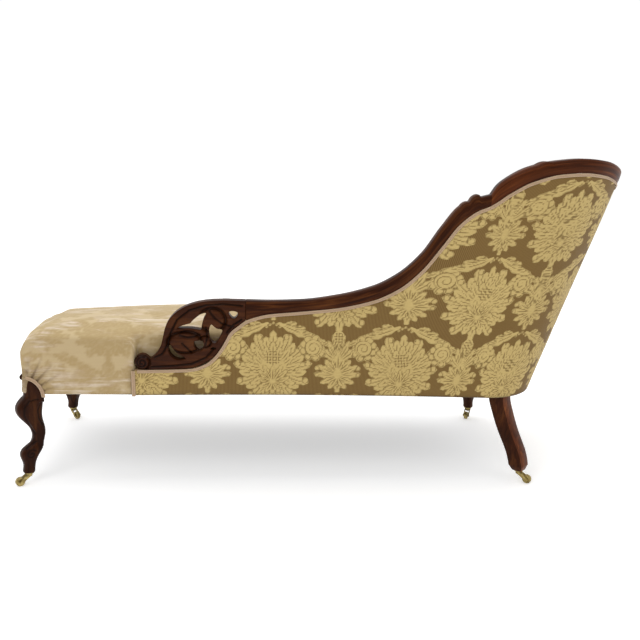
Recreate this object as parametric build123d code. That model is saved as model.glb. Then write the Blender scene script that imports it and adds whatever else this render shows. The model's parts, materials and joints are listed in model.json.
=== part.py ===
import bisect
import math
import os

from build123d import *

# Driving dimensions, in millimetres.
# +X points to the head end, -Y to the outside of the back, Z = 0 is the floor.
foot_x = -866
head_centre_x = 450
seat_width = 574
corner_radius = 158
head_turn = 94.5
cover_bottom = 264
cover_arch = 8
rail_bottom = 274
rail_top = 344
rail_thickness = 32
cover_thickness = 3
gap = 0.3
foot_corner_radius = 24

# Show-wood rail: heights along the run of the back, which is zero where the head corner starts.
joint_run = -700
cusp_run = -45
show_rail_thickness = 38
show_rail_edge = 10
back_top_heights = [(-700, 546), (-640, 545), (-550, 548), (-450, 562), (-350, 589), (-280, 627),
                    (-220, 684), (-170, 759), (-125, 816), (-80, 839), (-45, 849)]
crest_top_heights = [(-45, 849), (-28, 876), (0, 899), (41, 927), (83, 944), (124, 950), (165, 944),
                     (207, 924), (260, 886), (350, 808), (450, 716), (550, 634), (700, 580)]
wood_low_heights = [(-700, 490), (-670, 501), (-640, 508), (-550, 517), (-450, 528), (-350, 551),
                    (-280, 585), (-220, 638), (-170, 704), (-125, 766), (-80, 803), (-45, 819),
                    (0, 852), (41, 886), (83, 907), (124, 912), (165, 905), (207, 885), (260, 846),
                    (350, 768), (450, 677), (550, 596), (700, 542)]
back_slopes = [(-1100, 0.045), (-400, 0.045), (-200, 0.05), (0, 0.07), (83, 0.148), (165, 0.25),
               (240, 0.345), (350, 0.385), (700, 0.385)]

# Pierced scroll at the foot end of the back; its points lie at (distance from its joint, height).
scroll_thickness = 28
volute_place = -286
volute_radius = 22
scroll_low_points = [(-145, 349), (-86, 380), (-41, 458)]
scroll_top_points = [(-80, 546), (-133, 539), (-184, 517), (-217, 478), (-230, 430)]
scroll_low_radius = 80

# Back upholstery
frame_depth = 32
post_depth = 28
post_width = 40
post_gap = 2
hessian_thickness = 1.5
facing_thickness = 24
pad_seat_gap = 2
pad_edge_depth = 12
pad_lower_depth = 34
pad_middle_depth = 46
gimp_width = 12
gimp_thickness = 2
braid_gap = 0.6

# Seat upholstery
seat_crown = 455
seat_shoulder = 438
front_shoulder = 385
shoulder_radius = 38
front_shoulder_radius = 60
seat_rear_inset = 35
seat_head_inset = 5
seat_corner_radius = 140
seat_break_gap = 3
seat_hessian_top = 396
webbing_width = 50
webbing_thickness = 2
spring_wire = 3.4
spring_end_radius = 38
spring_waist_radius = 24
spring_turns = 4
spring_row_inset = 137

# Legs and casters
post_side = 46
leg_bottom = 36
foot_leg_angle = 30
front_leg_angle = 45
cabriole_reach = 27
front_leg_x = 530
sabre_side = 46
sabre_foot_side = 28
sabre_foot_height = 16
knee_cut = 54
plate_diameter = 26
plate_thickness = 3
pin_diameter = 7
stem_diameter = 8
stem_length = 40
wheel_diameter = 26
wheel_width = 12
wheel_trail = 27
axle_diameter = 4
running_gap = 0.3
screw_circle = 9
screw_diameter = 2.4
screw_length = 8
screw_turns = (0, 120, 240)
caster_turns = {"foot_rear": 215, "foot_front": -50, "head_rear": -35, "head_front": -115}

rear_y = -seat_width / 2
front_y = seat_width / 2
corner_y = rear_y + corner_radius
head_angle = math.radians(head_turn)
corner_run = corner_radius * head_angle
head_run = (front_y - corner_y + corner_radius * math.cos(head_angle)) / math.sin(head_angle)
end_run = corner_run + head_run
frame_inset = cover_thickness + gap
inner_depth = frame_inset + frame_depth
joint_x = head_centre_x + joint_run
seat_break_x = joint_x + volute_place - volute_radius - seat_break_gap


def curve(points, at):
    # Smooth curve without overshoot through (run, value) points.
    runs = [point[0] for point in points]
    values = [point[1] for point in points]
    steps = [(v1 - v0) / (r1 - r0) for r0, r1, v0, v1 in zip(runs, runs[1:], values, values[1:])]
    middle = [0 if a * b <= 0 else 2 * a * b / (a + b) for a, b in zip(steps, steps[1:])]
    tangents = [steps[0]] + middle + [steps[-1]]
    i = min(max(bisect.bisect_right(runs, at) - 1, 0), len(runs) - 2)
    width = runs[i + 1] - runs[i]
    t = (at - runs[i]) / width
    return ((1 + 2 * t) * (1 - t) ** 2 * values[i] + t * (1 - t) ** 2 * width * tangents[i]
            + t * t * (3 - 2 * t) * values[i + 1] - t * t * (1 - t) * width * tangents[i + 1])


def wood_low(run):
    return curve(wood_low_heights, run)


def lean(run, height):
    return curve(back_slopes, run) * (height - cover_bottom)


def outline(run):
    # Point and outward direction on the lower edge of the back.
    if run <= 0:
        return head_centre_x + run, rear_y, 0, -1
    turn = min(run, corner_run) / corner_radius
    nx, ny = math.sin(turn), -math.cos(turn)
    past = max(run - corner_run, 0)
    return (head_centre_x + corner_radius * nx - past * ny,
            corner_y + corner_radius * ny + past * nx, nx, ny)


def back_plane(run):
    # Upright plane across the back: local x points outward, local y is height.
    x, y, nx, ny = outline(run)
    return Plane(origin=(x, y, 0), x_dir=(nx, ny, 0), z_dir=(ny, -nx, 0))


def spread(start, end, step):
    count = max(1, round((end - start) / step))
    return [start + (end - start) * i / count for i in range(count + 1)]


def stations(start, end):
    # Evenly spaced section places along the back, the same ones for every piece that follows it.
    runs = spread(joint_run, cusp_run, 33)[:-1] + spread(cusp_run, end_run, 33)
    return [start] + [run for run in runs if start + 8 < run < end - 8] + [end]


def back_loft(start, end, corners, radii):
    # Solid along the back; corners(run) gives (depth outward, height) points of its section.
    faces = []
    for run in stations(start, end):
        ring = [(lean(run, height) + depth, height) for depth, height in corners(run)]
        faces.append(back_plane(run) * make_face(FilletPolyline(*ring, radius=radii, close=True)))
    return loft(faces)


def plan_face(centre, radius, inset, fillet_radius=0):
    # Seat outline in plan with a round rear head corner, drawn in by inset.
    r = radius - inset
    nx, ny = math.sin(head_angle), -math.cos(head_angle)
    start = (centre[0], centre[1] - r)
    middle = (centre[0] + r * math.sin(head_angle / 2), centre[1] - r * math.cos(head_angle / 2))
    end = (centre[0] + r * nx, centre[1] + r * ny)
    front = front_y - inset
    head_front = (end[0] - ny * (front - end[1]) / nx, front)
    foot = foot_x + inset
    straight = Polyline(end, head_front, (foot, front), (foot, start[1]), start)
    face = make_face([straight, ThreePointArc(start, middle, end)])
    if fillet_radius:
        face = fillet(face.vertices().group_by(Axis.X)[0], fillet_radius)
    return face


def frame_plan(inset):
    return plan_face((head_centre_x, corner_y), corner_radius, inset)


def block(x0, x1, y0, y1, z0, z1):
    return Pos((x0 + x1) / 2, (y0 + y1) / 2, (z0 + z1) / 2) * Box(x1 - x0, y1 - y0, z1 - z0)


def upright_prism(face, z0, z1):
    return extrude(Pos(0, 0, z0) * face, z1 - z0)


# Seat frame: a ring of rails cut by the four leg posts
foot_post_x = foot_x + frame_inset + post_side / 2
post_y = front_y - frame_inset - post_side / 2
post_places = {
    "foot_rear": (foot_post_x, -post_y),
    "foot_front": (foot_post_x, post_y),
    "head_front": (front_leg_x, post_y),
}
wedge = make_face(Polyline(
    (head_centre_x, corner_y),
    *[(head_centre_x + 400 * math.sin(math.radians(a)), corner_y - 400 * math.cos(math.radians(a)))
      for a in (3, 38)],
    close=True))
sabre_head = (frame_plan(frame_inset) - frame_plan(frame_inset + 60)) & wedge
rail_ring = frame_plan(frame_inset) - frame_plan(frame_inset + rail_thickness) - sabre_head
for place in post_places.values():
    rail_ring -= Pos(*place) * Rectangle(post_side, post_side)
rails = upright_prism(rail_ring, rail_bottom, rail_top).solids()
rear_seat_rail = rails.sort_by(Axis.Y)[0]
front_seat_rail = rails.sort_by(Axis.Y)[-1]
foot_seat_rail = rails.sort_by(Axis.X)[0]
head_seat_rail = rails.sort_by(Axis.X)[-1]

inner_x = foot_x + frame_inset + rail_thickness
inner_y = front_y - frame_inset - rail_thickness
corner_blocks = []
for side in (-1, 1):
    corner = make_face(Polyline((inner_x, side * inner_y), (inner_x + 80, side * inner_y),
                                (inner_x, side * (inner_y - 80)), close=True))
    corner -= Pos(foot_post_x, side * post_y) * Rectangle(post_side, post_side)
    corner_blocks.append(upright_prism(corner, rail_top - 60, rail_top - 15))

# Legs
cabriole_sections = [(262, 4, 26, 25), (238, 16, 35, 30), (214, 18, 34, 28), (182, 5, 24, 22),
                     (148, -5, 18, 17), (122, 2, 19, 18), (100, 18, 28, 22), (84, 24, 24, 21),
                     (68, 25, 18, 18), (52, 26, 16, 16), (leg_bottom, cabriole_reach, 16, 16)]
sabre_places = [(rail_bottom, 49, 44), (216, 55, 40), (178, 67, 35), (140, 81, 28), (102, 97, 21),
                (72, 106, 16), (leg_bottom + sabre_foot_height, 110, 14)]
sabre_foot = (112, 13)
sabre_sections = [(z, head_centre_x + along, rear_y + inward) for z, along, inward in sabre_places]


def caster_bores(pivot, turn):
    # Bore for the stem and pilot holes for the three plate screws.
    x, y = pivot
    bores = Pos(x, y, leg_bottom + stem_length / 2) * Cylinder(stem_diameter / 2 + 0.1, stem_length + 2)
    for angle in screw_turns:
        place = Pos(x, y, leg_bottom + screw_length / 2) * Rot(0, 0, turn + angle) * Pos(screw_circle, 0, 0)
        bores += place * Cylinder(screw_diameter / 2 + 0.05, screw_length + 1)
    return bores


def cabriole_leg(name, angle, corner_fillet):
    x, y = post_places[name]
    shapes = [Pos(centre, 0, z) * RectangleRounded(2 * half, 2 * side, 0.8 * min(half, side))
              for z, centre, half, side in cabriole_sections]
    leg = Pos(x, y, 0) * Rot(0, 0, angle) * loft(shapes)
    post = Pos(x, y, (rail_top + 257) / 2) * Box(post_side, post_side, rail_top - 257)
    if corner_fillet:
        outer = post.edges().filter_by(Axis.Z).sort_by_distance((foot_x, 3 * y, 300))[0]
        post = fillet(outer, corner_fillet)
    pivot = (x + cabriole_reach * math.cos(math.radians(angle)),
             y + cabriole_reach * math.sin(math.radians(angle)))
    return leg + post - caster_bores(pivot, caster_turns[name]), pivot


corner_fillet = foot_corner_radius - frame_inset
foot_rear_leg, foot_rear_pivot = cabriole_leg("foot_rear", 180 + foot_leg_angle, corner_fillet)
foot_front_leg, foot_front_pivot = cabriole_leg("foot_front", 180 - foot_leg_angle, corner_fillet)
head_front_leg, head_front_pivot = cabriole_leg("head_front", front_leg_angle, 0)

sabre_shapes = [Pos(x, y, z) * Rot(0, 0, 45) * Rectangle(sabre_side - 4 * i / 6, sabre_side - 4 * i / 6)
                for i, (z, x, y) in enumerate(sabre_sections)]
head_rear_pivot = (head_centre_x + sabre_foot[0], rear_y + sabre_foot[1])
sabre_end = Pos(*head_rear_pivot, leg_bottom) * Rot(0, 0, 45) * Rectangle(sabre_foot_side, sabre_foot_side)
head_rear_leg = loft(sabre_shapes) + loft([sabre_shapes[-1], sabre_end])
head_rear_leg += upright_prism(sabre_head, rail_bottom - 6, rail_top)
head_rear_leg -= caster_bores(head_rear_pivot, caster_turns["head_rear"])

# Show-wood rails
show_radii = [0, show_rail_edge, show_rail_edge, 0]


def show_rail(start, end, top_heights):
    def corners(run):
        top = curve(top_heights, run)
        low = wood_low(run)
        return [(0, low), (0, top), (-show_rail_thickness, top), (-show_rail_thickness, low)]
    return back_loft(start, end, corners, show_radii)


back_rail = show_rail(joint_run, cusp_run, back_top_heights)
crest_rail = show_rail(cusp_run, end_run, crest_top_heights)

# Pierced scroll: a plate in the plane of the outside back
scroll_tilt = math.degrees(math.atan(back_slopes[0][1]))
scroll_plane = Plane(origin=(head_centre_x, rear_y, cover_bottom), x_dir=(1, 0, 0),
                     z_dir=(0, -math.cos(math.radians(scroll_tilt)), -math.sin(math.radians(scroll_tilt))))


def spot(place, height):
    # Point in the scroll plane, at a place along X from the joint of scroll and rail.
    return joint_run + place, height - cover_bottom


scroll_bottom = rail_top + gap
volute_z = scroll_bottom + volute_radius
notch = (volute_place + 0.92 * volute_radius, volute_z + 0.39 * volute_radius)
volute_top = (volute_place - 0.6 * volute_radius, volute_z + 0.8 * volute_radius)


def scroll_low_line(start, drop):
    # Lower edge of the scroll from start to the joint with the rail, moved down by drop.
    points = [(start, scroll_bottom), *scroll_low_points, (0, wood_low(joint_run))]
    return FilletPolyline(*[spot(place, z - drop) for place, z in points], radius=scroll_low_radius)


outer_edge = Spline(*[spot(*point) for point in (
    (0, curve(back_top_heights, joint_run)), *scroll_top_points, notch)])
volute = ThreePointArc(spot(*notch), spot(*volute_top), spot(volute_place, scroll_bottom))
lower_edge = scroll_low_line(volute_place, 0)
joint_edge = Line(lower_edge @ 1, outer_edge @ 0)
scroll_face = make_face([outer_edge, volute, lower_edge, joint_edge])


def piercing(*arcs):
    # Opening bounded by three-point arcs that run from tip to tip.
    edges = []
    for (start, middle), (end, unused) in zip(arcs, arcs[1:] + arcs[:1]):
        edges.append(ThreePointArc(spot(*start), spot(*middle), spot(*end)))
    return make_face(edges)


openings = [
    piercing(((-194, 463), (-175, 473)), ((-153, 479), (-132, 500)), ((-105, 513), (-118, 488)),
             ((-122, 461), (-154, 466))),
    piercing(((-48, 514), (-35, 516)), ((-22, 512), (-25, 502)), ((-34, 494), (-43, 502))),
    piercing(((-94, 480), (-82, 467)), ((-63, 462), (-71, 443)), ((-82, 425), (-88, 424)),
             ((-94, 427), (-102, 452))),
    piercing(((-209, 422), (-209, 391)), ((-163, 380), (-193, 396))),
    piercing(((-142, 430), (-131, 431)), ((-119, 428), (-117, 412)), ((-130, 399), (-141, 414))),
]
for opening in openings:
    scroll_face -= opening
scroll_face -= Pos(*spot(-90, 408)) * SlotOverall(16, 6)
pierced_scroll = extrude(scroll_plane * scroll_face, -scroll_thickness)

# Posts of the back and head end, from the seat rail to the underside of the show-wood rail
edge_gap = 5 * gap
post_runs = {
    "back_post_foot": -670,
    "back_post_middle": -350,
    "back_post_head": -92,
    "head_post_corner": 128,
    "head_post_middle": 340,
    "head_post_front": 560,
}


def post_ring(run, heights):
    # Corners of a post across the back: two at each side of run, each side at its own height.
    ring = []
    for side, depths in ((-1, (post_depth, 0)), (1, (0, post_depth))):
        height = heights[side > 0]
        fan = corner_radius / (corner_radius + lean(run, height)) if 0 < run < corner_run else 1
        place = run + side * fan * post_width / 2
        x, y, nx, ny = outline(place)
        for depth in depths:
            out = lean(place, height) - frame_inset - post_gap - depth
            ring.append((x + nx * out, y + ny * out, height))
    return make_face(Polyline(*ring, close=True))


def post(run):
    tops = [wood_low(run - post_width / 2), wood_low(run + post_width / 2)]
    if 0 < run < corner_run:
        tops = [min(tops)] * 2
    sag = max(0, sum(tops) / 2 - wood_low(run))
    tops = [top - sag - 2 * gap for top in tops]
    return loft([post_ring(run, (rail_top, rail_top)), post_ring(run, tops)])


posts = {name: post(run) for name, run in post_runs.items()}

# Back upholstery


def lower_edge_height(run):
    middle = (foot_x + head_centre_x) / 2
    half = (head_centre_x - foot_x) / 2
    return cover_bottom + cover_arch * max(0, 1 - ((head_centre_x + run - middle) / half) ** 2)


def outside_section(run):
    top = wood_low(run) - edge_gap
    low = lower_edge_height(run)
    return [(0, low), (0, top), (-cover_thickness, top), (-cover_thickness, low)]


def foot_panel(drop, left, bottom):
    # Panel under the scroll's lower edge, from left to the joint with the rail.
    top = scroll_low_line(left, drop)
    low_left, low_right = spot(left, bottom), spot(0, lower_edge_height(joint_run))
    return make_face([top, Polyline(top @ 1, low_right, low_left, top @ 0)])


break_place = seat_break_x - joint_x
panel_left = break_place + gap
panel_bottom = lower_edge_height(joint_run + panel_left)
outside_back_cover = back_loft(joint_run, end_run, outside_section, 0)
outside_back_cover += extrude(scroll_plane * foot_panel(edge_gap, panel_left, panel_bottom), -cover_thickness)


def seat_top(y):
    # Height of the seat across its width, from the back edge over the crown to the lower front edge.
    fall = (front_shoulder - seat_shoulder) / 2 * y / front_y
    return seat_crown + fall + ((seat_shoulder + front_shoulder) / 2 - seat_crown) * (y / front_y) ** 2


pad_back = inner_depth + hessian_thickness + gap
pad_bottom_back = seat_top(rear_y + inner_depth) + pad_seat_gap
pad_bottom_front = seat_top(rear_y + pad_back + pad_lower_depth) + pad_seat_gap


def hessian_section(run):
    top = wood_low(run) - edge_gap
    back = -inner_depth
    return [(back, pad_bottom_back), (back, top), (back - hessian_thickness, top),
            (back - hessian_thickness, pad_bottom_back)]


pad_end_run = end_run - facing_thickness - gap
back_hessian = back_loft(joint_run, pad_end_run, hessian_section, 0)


def pad_front(run, outset):
    # Lower, middle and upper point on the face of the inside back pad, outset from the stuffing.
    top = wood_low(run) - edge_gap
    full = min(1, (top - pad_bottom_back) / 190)
    depths = [pad_edge_depth + (depth - pad_edge_depth) * full + pad_back + outset
              for depth in (pad_lower_depth, pad_middle_depth, pad_edge_depth)]
    heights = (pad_bottom_front, (pad_bottom_front + top) / 2, top)
    return [(lean(run, height) - depth, height) for depth, height in zip(depths, heights)]


stuffing_faces = []
inside_faces = []
for run in stations(joint_run, pad_end_run):
    plane = back_plane(run)
    low, middle, high = pad_front(run, 0)
    back_low = (lean(run, pad_bottom_back) - pad_back, pad_bottom_back)
    back_high = (lean(run, high[1]) - pad_back, high[1])
    stuffing_faces.append(plane * make_face([
        Line(back_low, low), ThreePointArc(low, middle, high), Line(high, back_high),
        Line(back_high, back_low)]))
    near = pad_front(run, gap)
    far = pad_front(run, gap + cover_thickness)
    inside_faces.append(plane * make_face([
        ThreePointArc(*near), Line(near[2], far[2]), ThreePointArc(*far[::-1]), Line(far[0], near[0])]))
back_stuffing = loft(stuffing_faces)
inside_back_cover = loft(inside_faces)

facing_top = wood_low(end_run) - edge_gap
facing_points = [(-frame_inset, rail_top), (-frame_inset, facing_top), (-pad_back - 12, facing_top),
                 (-pad_back - 40, seat_shoulder + 67), (-pad_back - 38, seat_shoulder + 34),
                 (-34, seat_shoulder + 18), (-34, rail_top)]
facing_ring = [(lean(end_run, height) + depth, height) for depth, height in facing_points]
facing_face = make_face(FilletPolyline(*facing_ring, radius=[0, 0, 8, 30, 8, 8, 0], close=True))
arm_front = extrude(back_plane(end_run) * facing_face, facing_thickness)


def braid(start, end, bottom, base, sign):
    # Gimp braid on the surface at depth base, standing out toward sign; bottom(run) is its lower edge.
    def band(run):
        low = bottom(run)
        inner, outer = sorted((base - sign * 20, base + sign * (braid_gap + gimp_thickness)))
        return [(outer, low), (outer, low + gimp_width), (inner, low + gimp_width), (inner, low)]

    def under(run):
        low = bottom(run) - 20
        high = low + gimp_width + 40
        inner, outer = sorted((base - sign * 40, base + sign * braid_gap))
        return [(outer, low), (outer, high), (inner, high), (inner, low)]
    return back_loft(start, end, band, 0) - back_loft(start, end, under, 0)


gimp_face = foot_panel(1, break_place + gimp_width, scroll_bottom - 60)
gimp_face -= foot_panel(1 + gimp_width, break_place + gimp_width, scroll_bottom - 80)
gimp_foot = extrude(scroll_plane.offset(braid_gap) * gimp_face, gimp_thickness)
drop_corners = [spot(break_place + side * gimp_width / 2, height)
                for side, height in ((-1, cover_bottom), (1, cover_bottom), (1, scroll_bottom - 1),
                                     (-1, scroll_bottom - 1))]
gimp_drop = extrude(scroll_plane.offset(braid_gap) * make_face(Polyline(*drop_corners, close=True)),
                    gimp_thickness)
back_gimp = [braid(joint_run, end_run, lambda run: wood_low(run) - 1 - gimp_width, 0, 1), gimp_foot,
             gimp_drop]
inside_gimp = braid(joint_run, end_run, lambda run: wood_low(run) + 1, -show_rail_thickness, -1)

# Seat upholstery
seat_bottom = rail_top + gap + hessian_thickness + gap
seat_corner = (head_centre_x + corner_radius - seat_head_inset - seat_corner_radius,
               rear_y + seat_rear_inset + seat_corner_radius)


def seat_form(inset, bottom):
    # Crowned seat, drawn in by inset: the plan cut by a cross profile and a long profile.
    half = front_y - inset
    back_edge, front_edge = (-half, seat_shoulder - inset), (half, front_shoulder - inset)
    cross = make_face([Polyline(back_edge, (-half, 0), (half, 0), front_edge),
                       ThreePointArc(front_edge, (0, seat_crown - inset), back_edge)])
    for corner, radius in ((back_edge, shoulder_radius), (front_edge, front_shoulder_radius)):
        cross = fillet(cross.vertices().sort_by_distance(corner)[0], radius - inset)
    foot = foot_x + inset
    long_points = ((foot, seat_shoulder + 10 - inset), (-120, seat_crown + 7 - inset),
                   (700, seat_shoulder + 2 - inset))
    along = make_face([ThreePointArc(*long_points),
                       Polyline(long_points[2], (700, bottom), (foot, bottom), long_points[0])])
    along = fillet(along.vertices().sort_by_distance(long_points[0])[0], shoulder_radius + 8 - inset)
    plan = plan_face(seat_corner, seat_corner_radius, inset)
    plan += Pos((foot + seat_break_x - inset) / 2, rear_y / 2 + inset / 2) * Rectangle(
        seat_break_x - inset - foot, -rear_y - inset)
    corners = [v for v in plan.vertices() if abs(v.X - foot) < 0.01]
    plan = fillet(corners, foot_corner_radius - inset)
    form = upright_prism(plan, bottom, 600)
    form &= Pos(foot_x - 100, 0, 0) * extrude(Plane.YZ * cross, 2000)
    form &= Pos(0, 500, 0) * extrude(Plane.XZ * along, 1000)
    return form


seat_cover = seat_form(0, cover_bottom) - seat_form(cover_thickness, cover_bottom - 50)
seat_cover -= block(seat_break_x - cover_thickness - 1, 800, rear_y + cover_thickness, 0, 0, seat_bottom)
seat_cover -= block(head_centre_x, 800, -100, front_y - 25, 0, seat_bottom)
seat_cover -= block(front_leg_x + 35, 800, front_y - 30, front_y + 30, 0, seat_bottom)
for side in (-1, 1):
    seat_cover -= Pos(foot_x, side * front_y, cover_bottom) * Sphere(knee_cut)


def hessian_dome(outset):
    base = (foot_x + 40 - outset, head_centre_x + 30 + outset, front_y - 49 + outset)
    top = (foot_x + 90 - outset, head_centre_x + outset, front_y - 82 + outset)
    shapes = []
    for (x0, x1, y), z in ((base, rail_top + gap), (top, seat_hessian_top + outset)):
        shapes.append(Pos((x0 + x1) / 2, 0, z) * Rectangle(x1 - x0, 2 * y))
    return loft(shapes)


flange = block(foot_x + 12, head_centre_x + 40, rear_y + 31, front_y - 31, rail_top + gap,
               rail_top + gap + hessian_thickness)
seat_hessian = flange + hessian_dome(0) - hessian_dome(-hessian_thickness)
seat_hessian -= hessian_dome(-hessian_thickness - 0.5).translate((0, 0, -1))
seat_stuffing = seat_form(cover_thickness + gap, seat_bottom) - hessian_dome(gap)

strap_top = rail_bottom - gap
strap_end = front_y - 17
spring_row = front_y - spring_row_inset
seat_webbing = []
for i in range(9):
    x = foot_x + 110 + i * (head_centre_x - foot_x - 170) / 8
    seat_webbing.append(block(x - webbing_width / 2, x + webbing_width / 2, -strap_end, strap_end,
                              strap_top - webbing_thickness, strap_top))
for y in (-spring_row, 0, spring_row):
    top = strap_top - webbing_thickness - gap
    head_end = outline(corner_run)[0] - (y / spring_row + 1) * 14 - 20
    seat_webbing.append(block(foot_x + 15, head_end, y - webbing_width / 2, y + webbing_width / 2,
                              top - webbing_thickness, top))

spring_low = strap_top + spring_wire / 2 + gap
spring_rise = seat_hessian_top - hessian_thickness - 4 * gap - spring_wire / 2 - spring_low
spring_path = []
for i in range(8 * spring_turns + 1):
    t = i / (8 * spring_turns)
    radius = spring_waist_radius + (spring_end_radius - spring_waist_radius) * (2 * t - 1) ** 2
    spring_path.append((radius * math.cos(math.pi * i / 4), radius * math.sin(math.pi * i / 4),
                        spring_low + spring_rise * t))
wire_plane = Plane(origin=spring_path[0], z_dir=Vector(*spring_path[1]) - Vector(*spring_path[0]))
spring = sweep(wire_plane * Rectangle(spring_wire, spring_wire), path=Polyline(*spring_path),
               transition=Transition.RIGHT)
spring_xs = spread(foot_x + 150, head_centre_x - 60, 220)
seat_springs = [Pos(x, y, 0) * spring for x in spring_xs for y in (-spring_row, 0, spring_row)]

cloth = frame_plan(12)
for place in post_places.values():
    cloth -= Pos(*place) * Rectangle(post_side + 30, post_side + 30)
cloth -= (frame_plan(0) - frame_plan(frame_inset + 66)) & wedge
cloth_top = strap_top - 2 * webbing_thickness - 2 * gap
bottom_cloth = upright_prism(cloth, cloth_top - 1, cloth_top)

# Casters
plate_low = leg_bottom - plate_thickness
hub_top = plate_low - running_gap
hub_low = hub_top - 8
axle_z = wheel_diameter / 2
cheek_near = wheel_width / 2 + 0.8
cheek_far = cheek_near + 3


def caster(pivot, turn):
    place = Pos(*pivot, 0) * Rot(0, 0, turn)
    plate = Pos(0, 0, plate_low + plate_thickness / 2) * Cylinder(plate_diameter / 2, plate_thickness)
    plate += Pos(0, 0, leg_bottom + stem_length / 2 - 1) * Cylinder(stem_diameter / 2, stem_length)
    pin_low = hub_low - running_gap
    plate += Pos(0, 0, (plate_low + pin_low) / 2) * Cylinder(pin_diameter / 2, plate_low - pin_low)
    plate += Pos(0, 0, pin_low - 1) * Cylinder(pin_diameter / 2 + 1.5, 2)
    for angle in screw_turns:
        plate -= Rot(0, 0, angle) * Pos(screw_circle, 0, plate_low + plate_thickness / 2) * Cone(
            screw_diameter + 0.1, screw_diameter / 2 + 0.1, plate_thickness)
    hub = Pos(0, 0, (hub_top + hub_low) / 2) * Cylinder(pin_diameter / 2 + 4.5, hub_top - hub_low)
    side = make_hull([Pos(1, (hub_top + hub_low) / 2) * Edge.make_circle(3.6),
                      Pos(wheel_trail, axle_z) * Edge.make_circle(5)])
    for sign in (-1, 1):
        cheek = extrude(Plane.XZ * side, cheek_far - cheek_near)
        hub += Pos(0, cheek_far if sign > 0 else -cheek_near, 0) * cheek
    hub -= Pos(0, 0, hub_low) * Cylinder(pin_diameter / 2 + running_gap, 40)
    axle_line = Pos(wheel_trail, 0, axle_z) * Rot(90, 0, 0)
    hub -= axle_line * Cylinder(axle_diameter / 2, 60)
    axle = axle_line * Cylinder(axle_diameter / 2, 2 * cheek_far)
    for sign in (-1, 1):
        axle += axle_line * Pos(0, 0, sign * (cheek_far + 0.75)) * Cylinder(axle_diameter / 2 + 1.2, 1.5)
    wheel = fillet(Cylinder(wheel_diameter / 2, wheel_width).edges(), 2.5)
    wheel = axle_line * (wheel - Cylinder(axle_diameter / 2 + running_gap, 60))
    return [place * piece for piece in (plate, hub, axle, wheel)]


pivots = {
    "foot_rear": foot_rear_pivot,
    "foot_front": foot_front_pivot,
    "head_rear": head_rear_pivot,
    "head_front": head_front_pivot,
}
casters = {name: caster(pivot, caster_turns[name]) for name, pivot in pivots.items()}
screw = Pos(0, 0, plate_low + plate_thickness / 2) * Cone(screw_diameter, screw_diameter / 2, plate_thickness)
screw += Pos(0, 0, leg_bottom + screw_length / 2 - 0.5) * Cylinder(screw_diameter / 2, screw_length)
caster_screws = [Pos(*pivot, 0) * Rot(0, 0, caster_turns[name] + angle) * Pos(screw_circle, 0, 0) * screw
                 for name, pivot in pivots.items() for angle in screw_turns]

pieces = {
    "rear_seat_rail": rear_seat_rail,
    "front_seat_rail": front_seat_rail,
    "foot_seat_rail": foot_seat_rail,
    "head_seat_rail": head_seat_rail,
    "corner_blocks": corner_blocks,
    "foot_rear_leg": foot_rear_leg,
    "foot_front_leg": foot_front_leg,
    "head_front_leg": head_front_leg,
    "head_rear_leg": head_rear_leg,
    "back_rail": back_rail,
    "crest_rail": crest_rail,
    "pierced_scroll": pierced_scroll,
    "arm_front": arm_front,
    **posts,
    "outside_back_cover": outside_back_cover,
    "back_hessian": back_hessian,
    "back_stuffing": back_stuffing,
    "inside_back_cover": inside_back_cover,
    "back_gimp": back_gimp,
    "inside_gimp": inside_gimp,
    "seat_cover": seat_cover,
    "seat_stuffing": seat_stuffing,
    "seat_hessian": seat_hessian,
    "seat_springs": seat_springs,
    "seat_webbing": seat_webbing,
    "bottom_cloth": bottom_cloth,
    "caster_screws": caster_screws,
}
for name, (plate, horn, axle, wheel) in casters.items():
    pieces[f"caster_plate_{name}"] = plate
    pieces[f"caster_horn_{name}"] = horn
    pieces[f"caster_axle_{name}"] = axle
    pieces[f"caster_wheel_{name}"] = wheel

solids = {}
for name, piece in pieces.items():
    shapes = piece if isinstance(piece, list) else [piece]
    solids[name] = [solid for shape in shapes for solid in shape.solids()]
box = Compound([solid for group in solids.values() for solid in group]).bounding_box()
shift = Pos(-(box.min.X + box.max.X) / 2, -(box.min.Y + box.max.Y) / 2, -box.min.Z)
os.makedirs("parts", exist_ok=True)
for name, group in solids.items():
    moved = [shift * solid for solid in group]
    export_step(moved[0] if len(moved) == 1 else Compound(moved), f"parts/{name}.step")
    print(name, len(moved), round(sum(solid.volume for solid in moved)))
print("size", round(box.size.X, 2), round(box.size.Y, 2), round(box.size.Z, 2))
print("shift", [round(value, 3) for value in shift.position])
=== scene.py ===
import bisect
import json
import math

import bpy
import numpy as np
from mathutils import Matrix, Vector


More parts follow.
